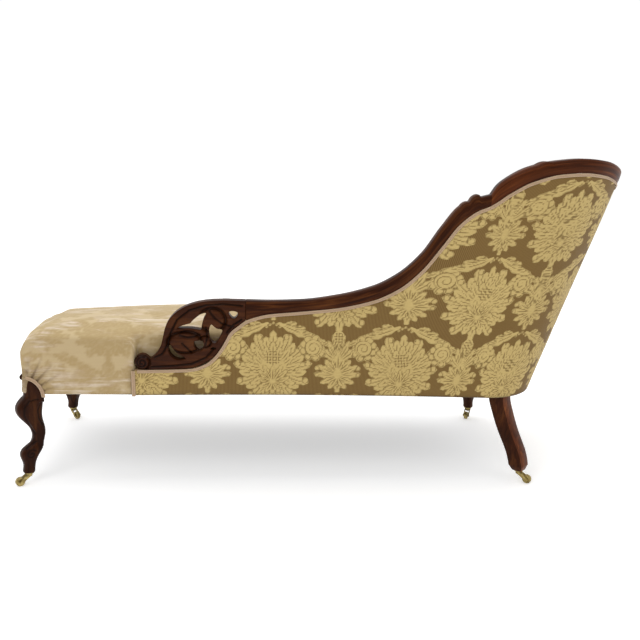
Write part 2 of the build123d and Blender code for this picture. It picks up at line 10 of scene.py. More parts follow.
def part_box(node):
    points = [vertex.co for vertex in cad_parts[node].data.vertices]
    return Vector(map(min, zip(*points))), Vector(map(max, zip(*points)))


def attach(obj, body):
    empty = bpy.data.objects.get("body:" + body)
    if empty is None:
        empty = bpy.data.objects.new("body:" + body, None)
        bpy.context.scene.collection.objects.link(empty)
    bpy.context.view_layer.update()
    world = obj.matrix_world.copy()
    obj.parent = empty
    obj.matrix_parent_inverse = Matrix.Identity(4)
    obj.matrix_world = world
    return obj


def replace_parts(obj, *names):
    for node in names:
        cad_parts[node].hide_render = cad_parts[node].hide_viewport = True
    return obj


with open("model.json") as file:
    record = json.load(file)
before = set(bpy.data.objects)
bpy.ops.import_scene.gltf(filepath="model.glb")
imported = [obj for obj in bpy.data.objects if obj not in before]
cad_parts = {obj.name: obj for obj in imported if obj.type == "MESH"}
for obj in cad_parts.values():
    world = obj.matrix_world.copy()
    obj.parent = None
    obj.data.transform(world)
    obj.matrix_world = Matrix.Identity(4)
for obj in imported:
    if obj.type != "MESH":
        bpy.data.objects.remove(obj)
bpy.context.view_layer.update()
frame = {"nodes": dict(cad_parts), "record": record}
nodes = frame["nodes"]
seatLow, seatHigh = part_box("seat_cover")
print("frame loaded:", len(nodes), "nodes")

# Lines of the back, in metres; run is measured along its lower edge from the start of the head corner
backLines = {
    "headX": seatLow.x + 1.316,
    "rearY": seatLow.y,
    "cornerRadius": 0.158,
    "headTurn": math.radians(94.5),
    "bottom": 0.264,
    "arch": 0.008,  # rise of the lower edge at mid length
    "archMiddle": -0.658,
    "footRun": -1.009,  # foot end of the panel under the scroll
    "jointRun": -0.700,  # scroll meets rail
    "cuspRun": -0.045,  # rail meets crest
    "endRun": 0.6654,
    "railTop": [(-0.70, 0.546), (-0.64, 0.545), (-0.55, 0.548), (-0.45, 0.562), (-0.35, 0.589), (-0.28, 0.627),
                (-0.22, 0.684), (-0.17, 0.759), (-0.125, 0.816), (-0.08, 0.839), (-0.045, 0.849)],
    "crestTop": [(-0.045, 0.849), (-0.028, 0.876), (0, 0.899), (0.041, 0.927), (0.083, 0.944), (0.124, 0.950),
                 (0.165, 0.944), (0.207, 0.924), (0.26, 0.886), (0.35, 0.808), (0.45, 0.716), (0.55, 0.634),
                 (0.70, 0.580)],
    "woodLow": [(-1.011, 0.3443), (-0.87, 0.3483), (-0.845, 0.351), (-0.812, 0.3633), (-0.788, 0.383),
                (-0.766, 0.4137), (-0.742, 0.4565), (-0.722, 0.4735), (-0.70, 0.490), (-0.67, 0.501),
                (-0.64, 0.508), (-0.55, 0.517), (-0.45, 0.528), (-0.35, 0.551), (-0.28, 0.585), (-0.22, 0.638),
                (-0.17, 0.704), (-0.125, 0.766), (-0.08, 0.803), (-0.045, 0.819), (0, 0.852), (0.041, 0.886),
                (0.083, 0.907), (0.124, 0.912), (0.165, 0.905), (0.207, 0.885), (0.26, 0.846), (0.35, 0.768),
                (0.45, 0.677), (0.55, 0.596), (0.70, 0.542)],
    "slope": [(-1.1, 0.045), (-0.4, 0.045), (-0.2, 0.05), (0, 0.07), (0.083, 0.148), (0.165, 0.25),
              (0.24, 0.345), (0.35, 0.385), (0.70, 0.385)],
}


def curveAt(points, at):  # smooth curve without overshoot
    runs = [p[0] for p in points]
    values = [p[1] for p in points]
    steps = [(v1 - v0) / (r1 - r0) for r0, r1, v0, v1 in zip(runs, runs[1:], values, values[1:])]
    middle = [0 if a * b <= 0 else 2 * a * b / (a + b) for a, b in zip(steps, steps[1:])]
    tangents = [steps[0]] + middle + [steps[-1]]
    i = min(max(bisect.bisect_right(runs, at) - 1, 0), len(runs) - 2)
    width = runs[i + 1] - runs[i]
    t = (at - runs[i]) / width
    return ((1 + 2 * t) * (1 - t) ** 2 * values[i] + t * (1 - t) ** 2 * width * tangents[i]
            + t * t * (3 - 2 * t) * values[i + 1] - t * t * (1 - t) * width * tangents[i + 1])


def outline(run):  # point and outward direction on the lower edge
    radius = backLines["cornerRadius"]
    cornerY = backLines["rearY"] + radius
    if run <= 0:
        return backLines["headX"] + run, backLines["rearY"], 0.0, -1.0
    turn = min(run / radius, backLines["headTurn"])
    nx, ny = math.sin(turn), -math.cos(turn)
    past = max(run - radius * backLines["headTurn"], 0)
    return backLines["headX"] + radius * nx - past * ny, cornerY + radius * ny + past * nx, nx, ny


def backPoint(run, height, out=0.0):  # point on the outside of the back
    x, y, nx, ny = outline(run)
    lean = curveAt(backLines["slope"], run) * (height - backLines["bottom"]) + out
    return Vector((x + nx * lean, y + ny * lean, height))


def woodLow(run):
    return curveAt(backLines["woodLow"], run)


def woodTop(run):
    return curveAt(backLines["railTop"] if run < backLines["cuspRun"] else backLines["crestTop"], run)


def lowerEdge(run):
    return backLines["bottom"] + backLines["arch"] * max(0, 1 - (run / backLines["archMiddle"] - 1) ** 2)


# Handling of objects


def deselectAll():
    if bpy.context.object and bpy.context.object.mode != "OBJECT":
        bpy.ops.object.mode_set(mode="OBJECT")
    bpy.ops.object.select_all(action="DESELECT")


def pick(piece):
    deselectAll()
    piece.select_set(True)
    bpy.context.view_layer.objects.active = piece


def addGrid(name, columns, rows):
    deselectAll()
    bpy.ops.mesh.primitive_grid_add(x_subdivisions=columns, y_subdivisions=rows, size=1)
    piece = bpy.context.object
    piece.name = name
    piece.data.name = name
    return piece


def shapeGrid(piece, place):  # place(s, t) gives each point, for s and t from 0 to 1
    for v in piece.data.vertices:
        v.co = place(v.co.x + 0.5, v.co.y + 0.5)
    piece.data.update()


def joinAll(pieces):  # joins the pieces into the first one
    pick(pieces[0])
    for piece in pieces[1:]:
        piece.select_set(True)
    if len(pieces) > 1:
        bpy.ops.object.join()
    return pieces[0]


def mergeDoubles():
    bpy.ops.mesh.remove_doubles(threshold=1e-5)


def faceOutward():
    bpy.ops.mesh.normals_make_consistent(inside=False)


def copyNode(name, *nodeNames):  # one merged copy of CAD nodes
    copies = [bpy.data.objects.new(name, nodes[nodeName].data.copy()) for nodeName in nodeNames]
    for copy in copies:
        bpy.context.collection.objects.link(copy)
    piece = joinAll(copies)
    piece.data.materials.clear()
    editAll(piece, mergeDoubles)
    return piece


def editAll(piece, *steps):  # edit-mode operators on the whole mesh
    pick(piece)
    bpy.ops.object.mode_set(mode="EDIT")
    for step in steps:
        bpy.ops.mesh.select_all(action="SELECT")
        step()
    bpy.ops.object.mode_set(mode="OBJECT")


def modify(piece, kind, **settings):  # adds a modifier and applies it
    pick(piece)
    modifier = piece.modifiers.new(kind.lower(), kind)
    for key, value in settings.items():
        setattr(modifier, key, value)
    bpy.ops.object.modifier_apply(modifier=modifier.name)


def deletePoints(piece, chosen):
    pick(piece)
    piece.data.polygons.foreach_set("select", np.zeros(len(piece.data.polygons), bool))
    piece.data.edges.foreach_set("select", np.zeros(len(piece.data.edges), bool))
    piece.data.vertices.foreach_set("select", np.asarray(chosen, bool))
    bpy.ops.object.mode_set(mode="EDIT")
    bpy.ops.mesh.select_mode(type="VERT")
    bpy.ops.mesh.delete(type="VERT")
    bpy.ops.object.mode_set(mode="OBJECT")


def remesh(piece, voxel):
    modify(piece, "REMESH", mode="VOXEL", voxel_size=voxel, use_smooth_shade=True)


def getPoints(piece):
    points = np.zeros(len(piece.data.vertices) * 3)
    piece.data.vertices.foreach_get("co", points)
    return points.reshape(-1, 3)


def getNormals(piece):
    normals = np.zeros(len(piece.data.vertices) * 3, np.float32)
    piece.data.vertex_normals.foreach_get("vector", normals)
    return normals.reshape(-1, 3).astype(float)


def setPoints(piece, points):
    piece.data.vertices.foreach_set("co", np.asarray(points, np.float64).ravel())
    piece.data.update()


def setSpread(piece, flat):  # a cloth or grain map from one value pair per point
    mesh = piece.data
    layer = mesh.uv_layers.get("clothUV") or mesh.uv_layers.new(name="clothUV")
    corners = np.zeros(len(mesh.loops), np.int32)
    mesh.loops.foreach_get("vertex_index", corners)
    layer.data.foreach_set("uv", np.asarray(flat, np.float32)[corners].ravel())


def finishPiece(piece, material, body="frame", smoothAngle=None):
    pick(piece)
    if smoothAngle is None:
        bpy.ops.object.shade_smooth()
    else:
        bpy.ops.object.shade_smooth_by_angle(angle=math.radians(smoothAngle))
    piece.data.materials.clear()
    piece.data.materials.append(material)
    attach(piece, body)
    return piece


# Materials


def newMaterial(name):
    material = bpy.data.materials.new(name)
    material.use_nodes = True
    tree = material.node_tree
    return material, tree, tree.nodes["Principled BSDF"]


def feed(tree, node, inputs):  # links or sets a node's inputs, by name or number
    for key, value in inputs.items():
        socket = node.inputs[key]
        if isinstance(value, bpy.types.NodeSocket):
            tree.links.new(value, socket)
        else:
            socket.default_value = value


def addNode(tree, kind, inputs=None, **settings):
    node = tree.nodes.new(kind)
    for key, value in settings.items():
        setattr(node, key, value)
    feed(tree, node, inputs or {})
    return node


def maths(tree, operation, *values, clamp=False):
    inputs = dict(enumerate(values))
    return addNode(tree, "ShaderNodeMath", inputs, operation=operation, use_clamp=clamp).outputs[0]


def mapping(tree, place, scale, turn=(0, 0, 0)):
    return addNode(tree, "ShaderNodeMapping", {"Vector": place, "Scale": scale, "Rotation": turn}).outputs[0]


def objectPlace(tree, scale=(1, 1, 1), turn=(0, 0, 0)):
    return mapping(tree, addNode(tree, "ShaderNodeTexCoord").outputs["Object"], scale, turn)


def clothPlace(tree, scale=(1, 1, 1)):
    return mapping(tree, addNode(tree, "ShaderNodeUVMap", uv_map="clothUV").outputs[0], scale)


def axes(tree, place):
    return addNode(tree, "ShaderNodeSeparateXYZ", {"Vector": place}).outputs


def noise(tree, place, scale, detail=4.0, roughness=0.55, distortion=0.0):
    inputs = {"Vector": place, "Scale": scale, "Detail": detail, "Roughness": roughness,
              "Distortion": distortion}
    return addNode(tree, "ShaderNodeTexNoise", inputs).outputs["Fac"]


def colourRamp(tree, value, stops):
    node = addNode(tree, "ShaderNodeValToRGB", {"Fac": value})
    elements = node.color_ramp.elements
    while len(elements) < len(stops):
        elements.new(0.5)
    for element, (position, colour) in zip(elements, stops):
        element.position = position
        element.color = (*colour, 1)
    return node.outputs[0]


def mixColour(tree, share, a, b):
    a, b = ((*colour, 1) if isinstance(colour, tuple) else colour for colour in (a, b))
    inputs = {0: share, 6: a, 7: b}  # sockets 6 and 7 take the two colours
    return addNode(tree, "ShaderNodeMix", inputs, data_type="RGBA").outputs[2]


def bump(tree, height, strength, distance):
    inputs = {"Height": height, "Strength": strength, "Distance": distance}
    return addNode(tree, "ShaderNodeBump", inputs).outputs[0]


def rescale(tree, value, low, high, toLow=0.0, toHigh=1.0):
    inputs = {"Value": value, "From Min": low, "From Max": high, "To Min": toLow, "To Max": toHigh}
    return addNode(tree, "ShaderNodeMapRange", inputs).outputs[0]


# Polished mahogany: grain runs along x of the given map
mahoganyLook = {
    "dark": (0.012, 0.0030, 0.0011),
    "middle": (0.048, 0.0120, 0.0032),
    "light": (0.150, 0.048, 0.0110),
    # near-black colour of the painted shade in grooves and on shaded faces
    "paintedShade": (0.003, 0.001, 0.0005),
    "polish": 0.28,
    "dull": 0.46,
    "figureGrain": (3.0, 30.0, 30.0),
    "poreGrain": (22.0, 420.0, 420.0),
}


def mahogany(name, place, light=1.0, spread=1.0, coat=0.02):
    look = mahoganyLook
    material, tree, shader = newMaterial(name)
    vector = place(tree)
    figure = noise(tree, mapping(tree, vector, look["figureGrain"]), 2.2, 6, 0.6, 0.5)
    pore = noise(tree, mapping(tree, vector, look["poreGrain"]), 1.0, 3, 0.5)
    cloud = noise(tree, vector, 5.0, 3, 0.5)
    tone = maths(tree, "ADD", maths(tree, "MULTIPLY", figure, 0.62), maths(tree, "MULTIPLY", cloud, 0.38))
    shades = [tuple(c * light for c in look[shade]) for shade in ("dark", "middle", "light")]
    stops = zip((0.50 - 0.14 * spread, 0.50, 0.50 + 0.18 * spread), shades)
    colour = colourRamp(tree, tone, list(stops))
    colour = mixColour(tree, rescale(tree, pore, 0.56, 0.74, 0.0, 0.55), colour, look["dark"])
    # painted shade: darkens the wood by the attribute set in grooves, moats and on faces turned from the light
    colour = mixColour(tree, maths(tree, "MULTIPLY", attribute(tree, "paintedShade"), 0.9), colour, look["paintedShade"])
    roughness = rescale(tree, cloud, 0.3, 0.75, look["polish"], look["dull"])
    feed(tree, shader, {"Base Color": colour, "Roughness": roughness, "Specular IOR Level": 0.05,
                        "Coat Weight": coat, "Coat Roughness": 0.12, "Normal": bump(tree, pore, 0.12, 0.0006)})
    return material


# Damask: one repeat of the woven figure, in millimetres from the middle of a medallion, for its right half.
# A leaf is (base x, base y, angle, length, half width, bend), a curl is (x, y, radius),
# a ground or a net is an oval (x, y, half width, half height).
ringMiddle = -4  # height of the middle of the medallion's rings


def ringLeaves(radius, length, width, count):  # long and short leaves in turn
    leaves = []
    for i, turn in enumerate(np.linspace(math.pi / 2, -math.pi / 2, count)):
        x, y = radius * math.cos(turn), radius * math.sin(turn) + ringMiddle
        leaves.append((x, y, math.degrees(turn), length * (1.16 - 0.30 * (i % 2)), width, 14 * math.cos(turn)))
    return leaves


def ringCurls(radius, size, degrees):
    return [(radius * math.cos(a), radius * math.sin(a) + ringMiddle, size) for a in np.radians(degrees)]


damaskFigure = {
    "repeat": (0.364, 0.425),
    "start": (0.0, 0.570),  # middle of one medallion on the cloth
    "lowest": -290,  # where one repeat ends below its medallion
    "softEdge": 1.6,
    "stemGround": [(68, -157, 28, 25), (0, -186, 17, 40), (0, -226, 44, 28), (0, -132, 18, 26)],
    "stemLeaves": [
        (12, 129, -30, 124, 17, 18), (30, 122, 16, 36, 10, -6), (52, 112, 10, 38, 10, -6),
        (74, 98, 2, 36, 10, -6), (0, -240, -90, 56, 13, 0), (0, -240, -62, 46, 13, 4),
        (0, -238, -34, 54, 13, 8), (0, -234, -10, 66, 14, 14), (0, -232, 14, 62, 13, 10),
        (0, -228, 38, 52, 13, 6), (0, -224, 64, 48, 12, 4), (0, -224, 90, 56, 11, 0), (2, -196, 30, 70, 15, 14),
        (2, -190, 56, 62, 12, 8), (2, -176, 84, 60, 9, -10), (22, -150, 20, 40, 11, 6)],
    "curls": [(46, -172, 12), (62, -184, 12), (82, -181, 12), (95, -166, 12), (95, -147, 12), (84, -133, 12),
              (64, -131, 12), (70, -157, 25), (58, -216, 7), (58, -236, 6),
              (0, 127, 4), (9, 122, 4), (18, 116, 4), (0, -268, 5)],
    "medallionGround": [(0, ringMiddle, 74, 72)],
    "medallionLeaves": ringLeaves(48, 54, 17, 13) + ringLeaves(28, 44, 15, 9) + [
        (0, -44, 4, 50, 12, 10), (0, -42, 30, 54, 12, 8), (0, -40, 56, 54, 12, 4), (0, -44, -30, 44, 12, 6),
        (0, -44, -62, 40, 12, 2), (0, -46, 90, 50, 11, 0)],
    "medallionCurls": ringCurls(98, 9, range(68, -80, -30)),
    "nets": [(0, 26, 24, 21), (0, -126, 13, 17)],
}


def ramp(values, low, high):
    return np.clip((values - low) / (high - low), 0, 1)


def leafShape(x, y, baseX, baseY, angle, length, width, bend):
    # How far inside the leaf each point is, and how dark its outline and vein are
    turn = math.radians(angle)
    dx, dy = x - baseX, y - baseY
    along = (dx * math.cos(turn) + dy * math.sin(turn)) / length
    across = np.abs(dy * math.cos(turn) - dx * math.sin(turn) - bend * along ** 2)
    lobes = 0.92 + 0.15 * np.cos(22 * along)
    full = np.clip(1.4 * along, 0, 1) ** 0.6 * np.clip(1 - along ** 3, 0, 1) ** 0.7 * lobes
    inside = np.where((along > 0) & (along < 1), width * full - across, -9.0)
    vein = ramp(across, 2.2, 0.8) * ramp(along, 0.85, 0.6)
    return inside, np.maximum(ramp(inside, 3.4, 1.2), vein) * ramp(along, 0.08, 0.28)


def curlShape(x, y, baseX, baseY, radius):
    dx, dy = x - baseX, y - baseY
    away = np.hypot(dx, dy)
    spiral = np.cos(away * 0.55 - np.arctan2(dy, dx))
    return radius - away, np.maximum(ramp(radius - away, 3.2, 1.2), ramp(spiral, 0.5, 0.95) * ramp(away, 3, 5))


def groundShape(x, y, baseX, baseY, wide, high):
    return (1 - np.hypot((x - baseX) / wide, (y - baseY) / high)) * min(wide, high), np.zeros(len(x))


def netShape(x, y, baseX, baseY, wide, high):
    dx, dy = x - baseX, y - baseY
    mesh = np.sin((dx + dy) * 0.62) * np.sin((dx - dy) * 0.62)
    return (1 - np.hypot(dx / wide, dy / high)) * 20, ramp(mesh, 0.2, -0.2)


def drawDamask(flat, scale=1.0):
    # Share of gold figure and of dark outline at each place on the cloth, medallions in half-drop columns
    width, height = (1000 * length for length in damaskFigure["repeat"])
    startX, startY = (1000 * place for place in damaskFigure["start"])
    u, v = flat[:, 0] * 1000 / scale, flat[:, 1] * 1000 / scale
    figure, line = np.zeros(len(flat)), np.zeros(len(flat))
    layers = [(groundShape, "stemGround"), (leafShape, "stemLeaves"), (curlShape, "curls"),
              (groundShape, "medallionGround"), (leafShape, "medallionLeaves"), (curlShape, "medallionCurls"),
              (netShape, "nets")]
    for half in (0.5, 0.0):
        x = np.abs((u - startX + (half + 0.5) * width) % width - width / 2)
        y = (v - startY + half * height - damaskFigure["lowest"]) % height + damaskFigure["lowest"]
        for shape, kind in layers:
            for values in damaskFigure[kind]:
                inside, dark = shape(x, y, *values)
                cover = ramp(inside, -damaskFigure["softEdge"], damaskFigure["softEdge"])
                figure += cover * (1 - figure)
                line += cover * (dark - line)
    return figure, line


def setAttribute(piece, name, values):
    layer = piece.data.attributes.get(name) or piece.data.attributes.new(name, "FLOAT", "POINT")
    layer.data.foreach_set("value", np.asarray(values, np.float32))


def layDamask(piece, flat, shift=(0, 0), scale=1.0):  # the cloth map and its woven figure
    setSpread(piece, flat)
    figure, line = drawDamask(flat + shift, scale)
    setAttribute(piece, "figure", figure)
    setAttribute(piece, "line", line)
    return figure, line


def attribute(tree, name):
    return addNode(tree, "ShaderNodeAttribute", attribute_name=name).outputs["Fac"]


def ribs(tree, value, pitch):  # fine ribs across a value in metres, 0 to 1
    wave = maths(tree, "SINE", maths(tree, "MULTIPLY", value, 2 * math.pi / pitch))
    return maths(tree, "MULTIPLY_ADD", wave, 0.5, 0.5)


backDamaskLook = {
    "ground": (0.200, 0.120, 0.036),
    "groundDark": (0.120, 0.068, 0.017),
    "gold": (0.520, 0.388, 0.150),
    # colour of the painted shade along the lower edge
    "paintedShade": (0.040, 0.026, 0.014),
    "ribPitch": 0.0038,
    "yarnPitch": 0.0012,
    "roughness": 0.72,
    "sheen": 0.08,
}


def makeBackDamask():
    look = backDamaskLook
    material, tree, shader = newMaterial("backDamask")
    place = clothPlace(tree)
    across, along = axes(tree, place)[:2]
    figure = rescale(tree, attribute(tree, "figure"), 0.32, 0.62)
    line = rescale(tree, attribute(tree, "line"), 0.25, 0.85, 0.0, 0.75)
    rib = ribs(tree, across, look["ribPitch"])
    yarn = ribs(tree, along, look["yarnPitch"])
    slub = noise(tree, clothPlace(tree, (1, 6, 1)), 60.0, 3, 0.6)
    ground = mixColour(tree, rib, look["groundDark"], look["ground"])
    gold = mixColour(tree, rescale(tree, slub, 0.3, 0.7, 0.0, 0.22), look["gold"], look["ground"])
    gold = mixColour(tree, line, gold, look["groundDark"])
    colour = mixColour(tree, figure, ground, gold)
    age = noise(tree, place, 3.0, 3, 0.5)
    colour = mixColour(tree, rescale(tree, age, 0.4, 0.75, 0.0, 0.16), colour, look["ground"])
    # painted shade: darkens the cloth just above its tacked lower edge
    colour = mixColour(tree, attribute(tree, "paintedShade"), colour, look["paintedShade"])
    weave = maths(tree, "MULTIPLY_ADD", yarn, 0.5, rib)
    feed(tree, shader, {"Base Color": colour, "Roughness": look["roughness"], "Specular IOR Level": 0.2,
                        "Sheen Weight": look["sheen"], "Sheen Roughness": 0.4,
                        "Normal": bump(tree, weave, 0.35, 0.0005)})
    return material


seatDamaskLook = {
    "cream": (0.555, 0.428, 0.235),
    "gold": (0.400, 0.280, 0.110),
    "worn": (0.760, 0.660, 0.520),
    "rose": (0.560, 0.400, 0.310),
    # colour of the painted shade
    "paintedShade": (0.120, 0.070, 0.030),
    "ribPitch": 0.0042,
    "scale": 0.9,
    "roughness": 0.78,
    "sheen": 0.16,
}


def makeSeatDamask():
    look = seatDamaskLook
    material, tree, shader = newMaterial("seatDamask")
    line = maths(tree, "MULTIPLY", attribute(tree, "line"), 0.4)
    figure = maths(tree, "SUBTRACT", attribute(tree, "figure"), line)
    rib = ribs(tree, axes(tree, clothPlace(tree))[1], look["ribPitch"])
    streak = noise(tree, clothPlace(tree, (2.0, 26.0, 1.0)), 4.0, 5, 0.6)
    patch = noise(tree, clothPlace(tree, (1.0, 2.2, 1.0)), 7.0, 4, 0.6, 0.6)
    colour = mixColour(tree, maths(tree, "MULTIPLY", figure, 0.8), look["cream"], look["gold"])
    rose = maths(tree, "MULTIPLY", rescale(tree, streak, 0.48, 0.66),
                 rescale(tree, patch, 0.45, 0.6, 0.0, 0.75))
    colour = mixColour(tree, rose, colour, look["rose"])
    wear = maths(tree, "MULTIPLY", rescale(tree, patch, 0.50, 0.66),
                 rescale(tree, streak, 0.40, 0.62, 0.0, 0.85))
    colour = mixColour(tree, wear, colour, look["worn"])
    colour = mixColour(tree, rescale(tree, rib, 0.0, 1.0, 0.16, 0.0), colour, look["gold"])
    # painted shade: darkens the cloth at its lower edge, foot corner, rear side, folds and panel end
    colour = mixColour(tree, attribute(tree, "paintedShade"), colour, look["paintedShade"])
    weave = maths(tree, "ADD", rib, streak)
    feed(tree, shader, {"Base Color": colour, "Roughness": look["roughness"], "Sheen Weight": look["sheen"],
                        "Sheen Roughness": 0.45, "Normal": bump(tree, weave, 0.30, 0.0006)})
    return material


def wovenCloth(name, light, dark, pitch):  # plain weave on object coordinates
    material, tree, shader = newMaterial(name)
    x, y, z = axes(tree, objectPlace(tree))
    warp = ribs(tree, maths(tree, "MULTIPLY_ADD", z, 0.5, x), pitch)
    weft = ribs(tree, maths(tree, "MULTIPLY_ADD", z, 0.8, y), pitch)
    weave = maths(tree, "MULTIPLY", warp, weft)
    tuft = noise(tree, objectPlace(tree), 90.0, 3)
    share = maths(tree, "MULTIPLY_ADD", tuft, 0.5, maths(tree, "MULTIPLY", weave, 0.6), clamp=True)
    feed(tree, shader, {"Base Color": mixColour(tree, share, dark, light), "Roughness": 0.85,
                        "Normal": bump(tree, weave, 0.5, 0.0006)})
    return material


braidLook = {
    "light": (0.49, 0.34, 0.21),
    "dark": (0.17, 0.095, 0.055),
    "aged": (0.36, 0.25, 0.13),
    "twistPitch": 0.0028,
}


def makeBraid():
    look = braidLook
    material, tree, shader = newMaterial("gimpBraid")
    place = clothPlace(tree)
    along, across = axes(tree, place)[:2]
    twist = ribs(tree, maths(tree, "MULTIPLY_ADD", across, 0.8, along), look["twistPitch"])
    age = noise(tree, place, 24.0, 4)
    colour = mixColour(tree, maths(tree, "MULTIPLY", twist, 0.6), look["light"], look["dark"])
    colour = mixColour(tree, rescale(tree, age, 0.5, 0.75, 0.0, 0.5), colour, look["aged"])
    feed(tree, shader, {"Base Color": colour, "Roughness": 0.7, "Sheen Weight": 0.2,
                        "Normal": bump(tree, twist, 0.5, 0.0005)})
    return material


def agedMetal(name, light, dark, roughness):
    material, tree, shader = newMaterial(name)
    tarnish = noise(tree, objectPlace(tree), 70.0, 5, 0.6)
    feed(tree, shader, {"Base Color": colourRamp(tree, tarnish, [(0.38, dark), (0.62, light)]), "Metallic": 1.0,
                        "Roughness": rescale(tree, tarnish, 0.35, 0.7, roughness + 0.2, roughness),
                        "Normal": bump(tree, tarnish, 0.12, 0.0004)})
    return material


def sawnBeech(light, dark):
    material, tree, shader = newMaterial("frameBeech")
    grain = noise(tree, objectPlace(tree, (4, 60, 60)), 2.0, 5, 0.6, 0.4)
    feed(tree, shader, {"Base Color": colourRamp(tree, grain, [(0.35, dark), (0.65, light)]), "Roughness": 0.75,
                        "Normal": bump(tree, grain, 0.2, 0.0006)})
    return material


def uprightGrain(tree):
    return objectPlace(tree, turn=(0, math.radians(90), 0))


def leaningGrain(tree):
    return objectPlace(tree, turn=(0, math.radians(80), 0))


looks = {
    # light scales the tone of each mahogany copy: one wood made lighter on some pieces and darker on others,
    # painted light and shade
    "railMahogany": mahogany("railMahogany", clothPlace, 0.75),
    "crestMahogany": mahogany("crestMahogany", clothPlace, 1.7),
    "carvedMahogany": mahogany("carvedMahogany", objectPlace, 0.75, 1.8, 0.05),
    "legMahogany": mahogany("legMahogany", uprightGrain, 0.50, 1.4, 0.04),
    "sabreMahogany": mahogany("sabreMahogany", leaningGrain, 2.0, 1.3),
    "backDamask": makeBackDamask(),
    "seatDamask": makeSeatDamask(),
    "braid": makeBraid(),
    "beech": sawnBeech((0.46, 0.29, 0.15), (0.24, 0.13, 0.06)),
    "hessian": wovenCloth("hessianWeave", (0.42, 0.30, 0.16), (0.20, 0.13, 0.06), 0.0026),
    "horsehair": wovenCloth("horsehairPad", (0.20, 0.15, 0.10), (0.07, 0.05, 0.03), 0.004),
    "webbing": wovenCloth("juteWebbing", (0.50, 0.38, 0.22), (0.26, 0.18, 0.09), 0.0034),
    "underCloth": wovenCloth("blackBottoming", (0.030, 0.026, 0.022), (0.012, 0.010, 0.009), 0.0016),
    "brass": agedMetal("agedBrass", (0.46, 0.36, 0.14), (0.16, 0.115, 0.04), 0.30),
    "steel": agedMetal("springSteel", (0.36, 0.27, 0.20), (0.18, 0.13, 0.10), 0.38),
}
print("materials made:", len(looks))


def dressNode(nodeName, look):
    node = nodes[nodeName]
    node.data.materials.clear()
    node.data.materials.append(looks[look])


slotLooks = {"show_wood": "carvedMahogany", "frame_wood": "beech", "back_damask": "hessian",
             "seat_damask": "hessian", "stuffing": "horsehair", "hessian": "hessian", "webbing": "webbing",
             "spring_steel": "steel", "gimp": "hessian", "brass": "brass"}
for part in frame["record"]["subparts"]:
    dressNode(part["node"], slotLooks[part["material_slot"]])
dressNode("bottom_cloth", "underCloth")
print("CAD nodes dressed")


# Outside back: one damask cloth stretched from the lower edge to the show wood
backCloth = {
    "pitch": 0.0031,
    "tall": 0.665,  # height of the cloth before it is cut along the wood
    "turnUnder": 0.010,
    "underSag": 0.0012,
    "swell": 0.0022,  # how far the middle stands out
    "pucker": 0.0007,  # small pulls at the tacked lower edge
    "puckerReach": 0.018,
    "relief": 0.00035,  # how far the woven figure stands out
    "paintedShade": 0.8,  # painted shade along the lower edge, where the cloth turns under
    "shadeReach": 0.0035,
    "cloth": [(-1.1, -0.658), (-0.442, 0.0), (-0.257, 0.182), (-0.07, 0.364), (0.066, 0.546), (0.26, 0.81),
              (0.70, 1.25)],
    "shear": [(-1.1, 0.0), (-0.45, 0.0), (-0.26, 0.06), (-0.13, 0.2), (-0.03, 0.3), (0.08, 0.26), (0.2, 0.12),
              (0.35, 0.0), (0.70, 0.0)],
    "shearHeight": 0.45,
    "tilt": [(-1.1, 0.0), (-0.45, 0.0), (-0.05, 0.02), (0.70, 0.02)],
}


def makeOutsideBack():
    settings = backCloth
    length, tall = backLines["endRun"] - backLines["footRun"], settings["tall"]
    piece = addGrid("outsideBackDamask", round(length / settings["pitch"]), round(tall / settings["pitch"]))
    square = getPoints(piece)
    columns, place = np.unique(np.round(square[:, 0], 6), return_inverse=True)
    runs = backLines["footRun"] + (columns + 0.5) * length
    lines = np.array([(*outline(r), curveAt(backLines["slope"], r), lowerEdge(r), woodLow(r) - 0.001,
                       *(curveAt(settings[line], r) for line in ("cloth", "shear", "tilt"))) for r in runs])
    x, y, nx, ny, slope, low, high, across, shear, tilt = lines[place].T
    run = runs[place]
    climb = (square[:, 1] + 0.5) * tall - settings["turnUnder"]  # below zero the cloth turns under the rail
    under = np.maximum(-climb, 0)
    height = low + np.maximum(climb, 0) + settings["underSag"] * (under / settings["turnUnder"]) ** 2
    share = np.clip(climb / (high - low), 0, 1)
    swell = settings["swell"] * np.minimum(1, np.sin(np.pi * share) * 1.6) * np.minimum(1, (high - low) / 0.15)
    pull = settings["pucker"] * np.exp(-climb.clip(0) / settings["puckerReach"]) * np.minimum(1, share * 30)
    pull *= np.sin(run * 170 + 1.7 * np.sin(run * 37))
    flat = np.stack([across - shear * (height - settings["shearHeight"]), height - under + tilt], 1)
    figure, line = layDamask(piece, flat)
    woven = settings["relief"] * (figure - 0.6 * line) * (climb > 0)
    out = swell + pull - under + woven + slope * (height - backLines["bottom"])
    setPoints(piece, np.stack([x + nx * out, y + ny * out, height], 1))
    # painted shade, darkest at the lower edge and fading within a few millimetres
    setAttribute(piece, "paintedShade", settings["paintedShade"] * np.exp(-np.maximum(climb, 0) / settings["shadeReach"]))
    deletePoints(piece, climb > high - low)
    return piece


outsideBack = makeOutsideBack()
finishPiece(outsideBack, looks["backDamask"])
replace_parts(outsideBack, "outside_back_cover")

# Show-wood rails, swept along the back with the carved rolls beside the cusp
railWood = {
    "depth": 0.038,
    "edge": 0.011,  # rounding of the top
    "belly": 0.0012,  # swell of the outer face
    "pitch": 0.0035,
    "gap": 0.0002,  # over the cloth's upper edge
    "cuspGap": 0.0003,  # open joint between rail and crest
    "girth": 0.16,  # width of the grain map round the section
    # place, half length and rise of each carved roll
    "rolls": [(-0.0865, 0.0135, 0.0105), (-0.116, 0.009, 0.0035), (0.060, 0.008, 0.0035)],
}


def railTopAt(run):
    top = woodTop(run)
    for place, half, rise in railWood["rolls"]:
        share = min(abs(run - place) / half, 1)
        top += rise * math.sqrt(1 - share * share)
    return top


